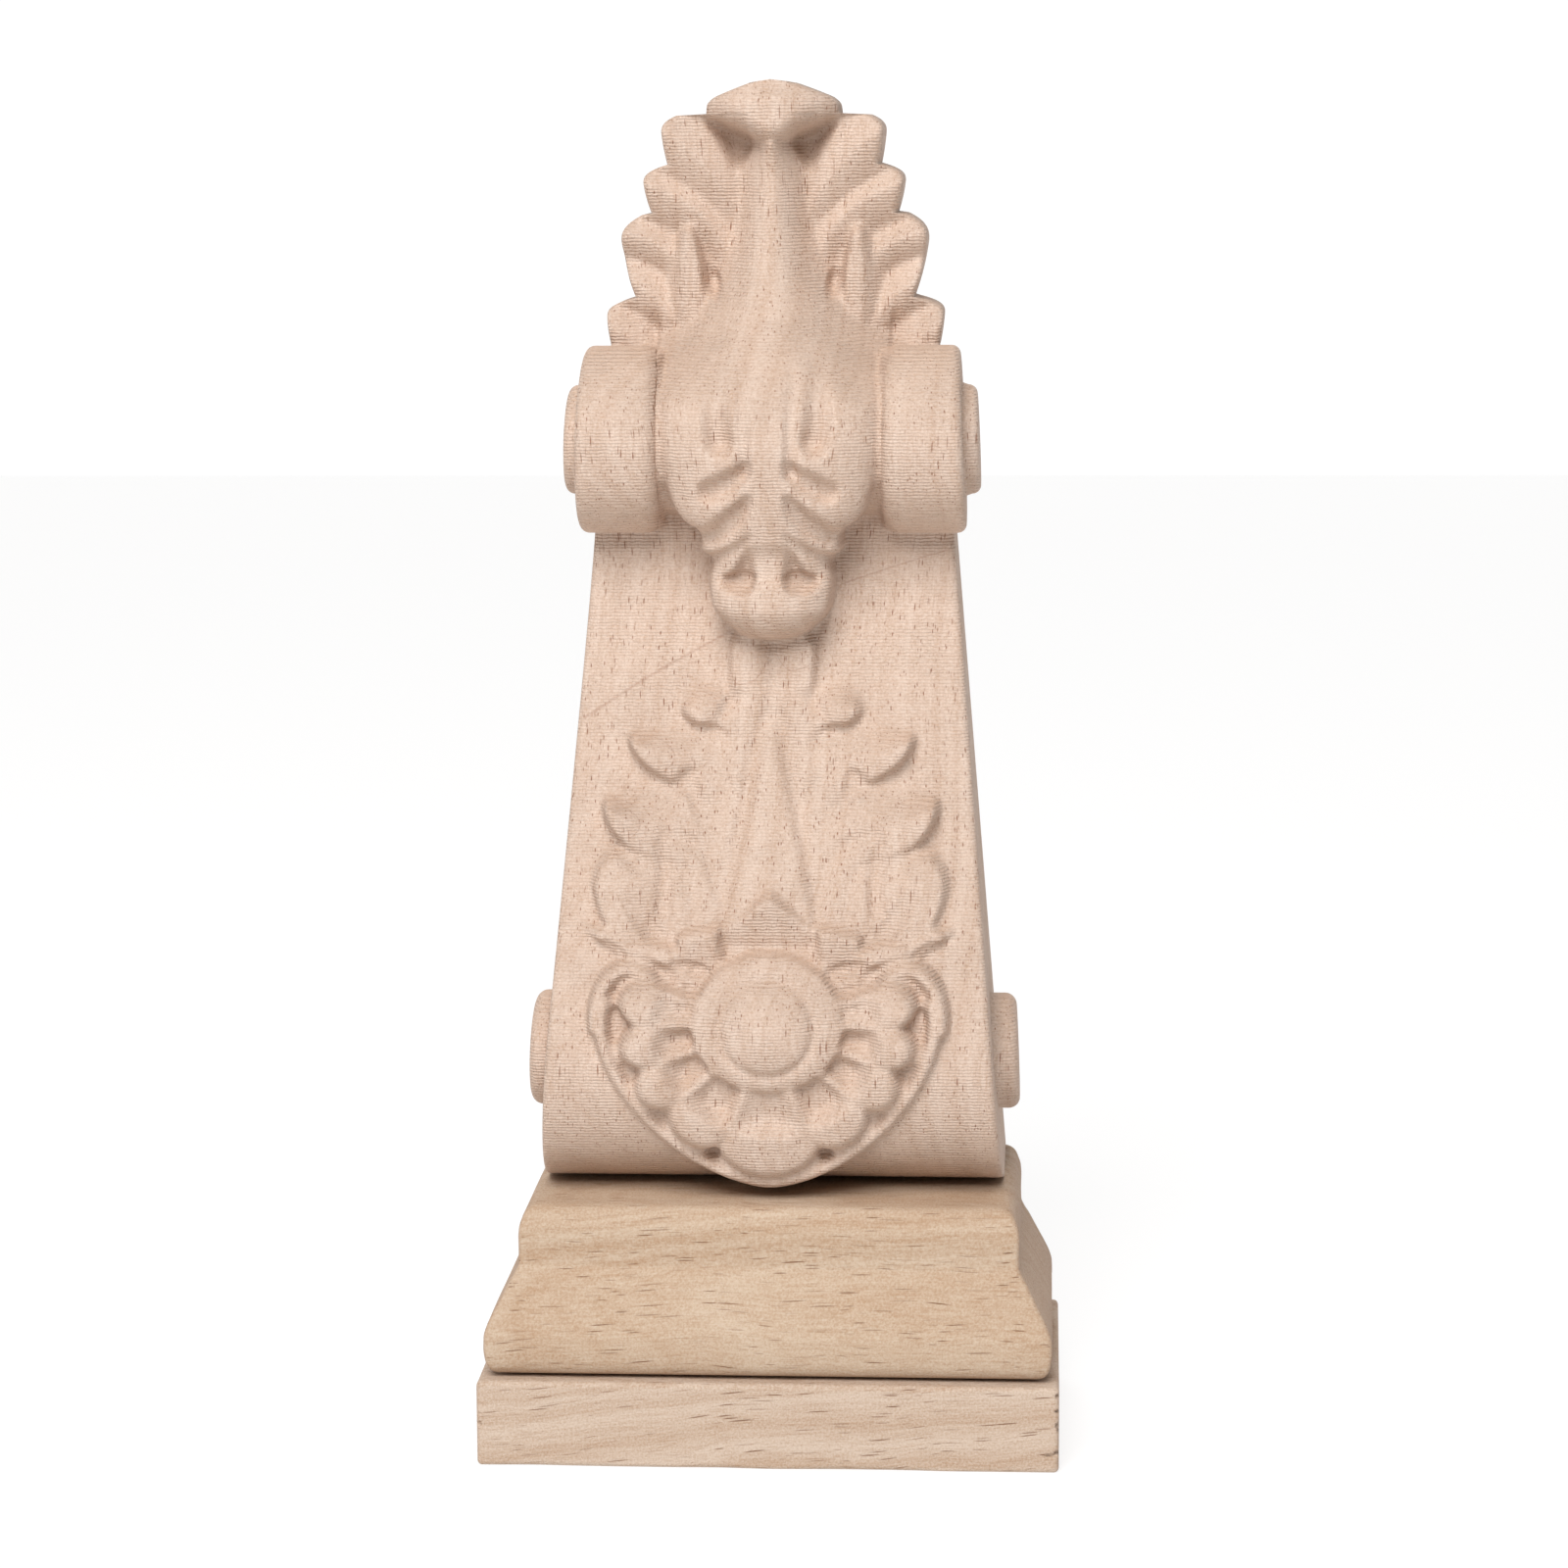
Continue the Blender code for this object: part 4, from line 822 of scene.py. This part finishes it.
block_wood = rubberwood("rubberwood_carved", (math.radians(1.2), math.radians(-0.8), 0),
                        ("D1BCAD", "B3947E", "7A4528", "BEA18B"), pore_share=1.0, pore_length=5.0,
                        figure=0.3, milled=0.6, seams=(((0.085, 0.911, -0.403), -25.52, 0.06, 0.25),))
block = finish(make_block(), "carved_block", block_wood)
upper_boss = rounded_profile(TOP_DRUM_INNER, ((TOP_DRUM_HALF, TOP_SCROLL["radius"]),
                                              (TOP_EYE_HALF, TOP_EYE_RADIUS)), DRUM_ARRIS, DRUM_ROUND)
lower_boss = rounded_profile(LOW_EYE_INNER, ((LOW_EYE_HALF, LOW_EYE_RADIUS),), EYE_ARRIS)
for side in (-1, 1):
    for boss, steps, scroll in ((upper_boss, DRUM_STEPS, TOP_SCROLL), (lower_boss, EYE_STEPS, SCROLL)):
        tool = finish(turned(boss, steps, scroll, side), "boss", block_wood)
        union = block.modifiers.new("boss", "BOOLEAN")
        union.operation = "UNION"
        union.solver = "MANIFOLD"
        union.object = tool
        dressed = bpy.data.meshes.new_from_object(block.evaluated_get(bpy.context.evaluated_depsgraph_get()))
        block.modifiers.clear()
        block.data = dressed
        bpy.data.objects.remove(tool)
block.data.name = "carved_block"
# the sawn sides and the back are flat
NEARLY_SQUARE = 0.995
for face in block.data.polygons:
    face.use_smooth = abs(face.normal.x) < NEARLY_SQUARE and face.normal.y < NEARLY_SQUARE
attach(block, "root")
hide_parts("scroll_body")

# Floor and backdrop: a pale sheet that the corbel stands on, and an evenly lit white one far behind it.
FLOOR_HALF, BACKDROP_BEHIND = 3.0, 1.6
floor_sheet = bmesh.new()
bmesh.ops.create_grid(floor_sheet, x_segments=1, y_segments=1, size=FLOOR_HALF)
for vertex in floor_sheet.verts:
    vertex.co.z = -ORIGIN_HEIGHT * MM
pale = bpy.data.materials.new("pale_floor")
pale.use_nodes = True
surface = pale.node_tree.nodes["Principled BSDF"].inputs
surface["Base Color"].default_value = linear("8C8B8A")
surface["Emission Color"].default_value = linear("FFFFFF")
surface["Emission Strength"].default_value = 0.74
surface["Roughness"].default_value = 0.9
floor = finish(floor_sheet, "floor", pale)
lit = bpy.data.materials.new("lit_backdrop")
lit.use_nodes = True
surface = lit.node_tree.nodes["Principled BSDF"].inputs
surface["Base Color"].default_value = linear("000000")
surface["Emission Color"].default_value = linear("FFFFFF")
surface["Emission Strength"].default_value = 1.02
backdrop_sheet = bmesh.new()
bmesh.ops.create_grid(backdrop_sheet, x_segments=1, y_segments=1, size=FLOOR_HALF)
for vertex in backdrop_sheet.verts:
    vertex.co = (vertex.co.x, BACKDROP_BEHIND, vertex.co.y + FLOOR_HALF - ORIGIN_HEIGHT * MM)
backdrop = finish(backdrop_sheet, "backdrop", lit)

# Light: a dim white room, one large soft lamp above and in front, and a weaker one on the left.
world = bpy.data.worlds.new("white_room")
bpy.context.scene.world = world
world.use_nodes = True
world.node_tree.nodes["Background"].inputs["Color"].default_value = linear("FFFFFF")
world.node_tree.nodes["Background"].inputs["Strength"].default_value = 0.1
for name, place, aim, width, power in (("top_lamp", (-0.12, -1.06, 1.08), (0, -0.02, 0.02), 0.85, 27.4),
                                       ("left_lamp", (-1.1, -1.1, 0.35), (0, 0, 0), 1.0, 3.0)):
    lamp_data = bpy.data.lights.new(name, "AREA")
    lamp_data.shape = "SQUARE"
    lamp_data.size = width
    lamp_data.energy = power
    lamp = bpy.data.objects.new(name, lamp_data)
    lamp.location = place
    lamp.rotation_euler = (Vector(place) - Vector(aim)).to_track_quat("Z", "Y").to_euler()
    bpy.context.collection.objects.link(lamp)

# Camera: a long lens a little to the right of the middle and above the top, as the picture was taken.
YAW, PITCH, ROLL = (math.radians(angle) for angle in (3.60, 9.32, -0.35))
ahead = Vector((-math.sin(YAW), math.cos(YAW), 0))
right = Vector((math.cos(YAW), math.sin(YAW), 0))
up = Vector((0, 0, 1))
aim = ahead * math.cos(PITCH) - up * math.sin(PITCH)
rise = up * math.cos(PITCH) + ahead * math.sin(PITCH)
camera_right = right * math.cos(ROLL) + rise * math.sin(ROLL)
camera_up = rise * math.cos(ROLL) - right * math.sin(ROLL)
camera_data = bpy.data.cameras.new("camera")
camera_data.lens = 94.5
camera_data.sensor_width = 36.0
camera = bpy.data.objects.new("camera", camera_data)
camera.rotation_mode = "QUATERNION"
camera.rotation_quaternion = Matrix((camera_right, camera_up, -aim)).transposed().to_quaternion()
camera.location = (0.0393, -0.6206, 0.0958)
bpy.context.collection.objects.link(camera)
bpy.context.scene.camera = camera
bpy.context.scene.view_settings.view_transform = "Standard"
bpy.context.scene.view_settings.look = "None"
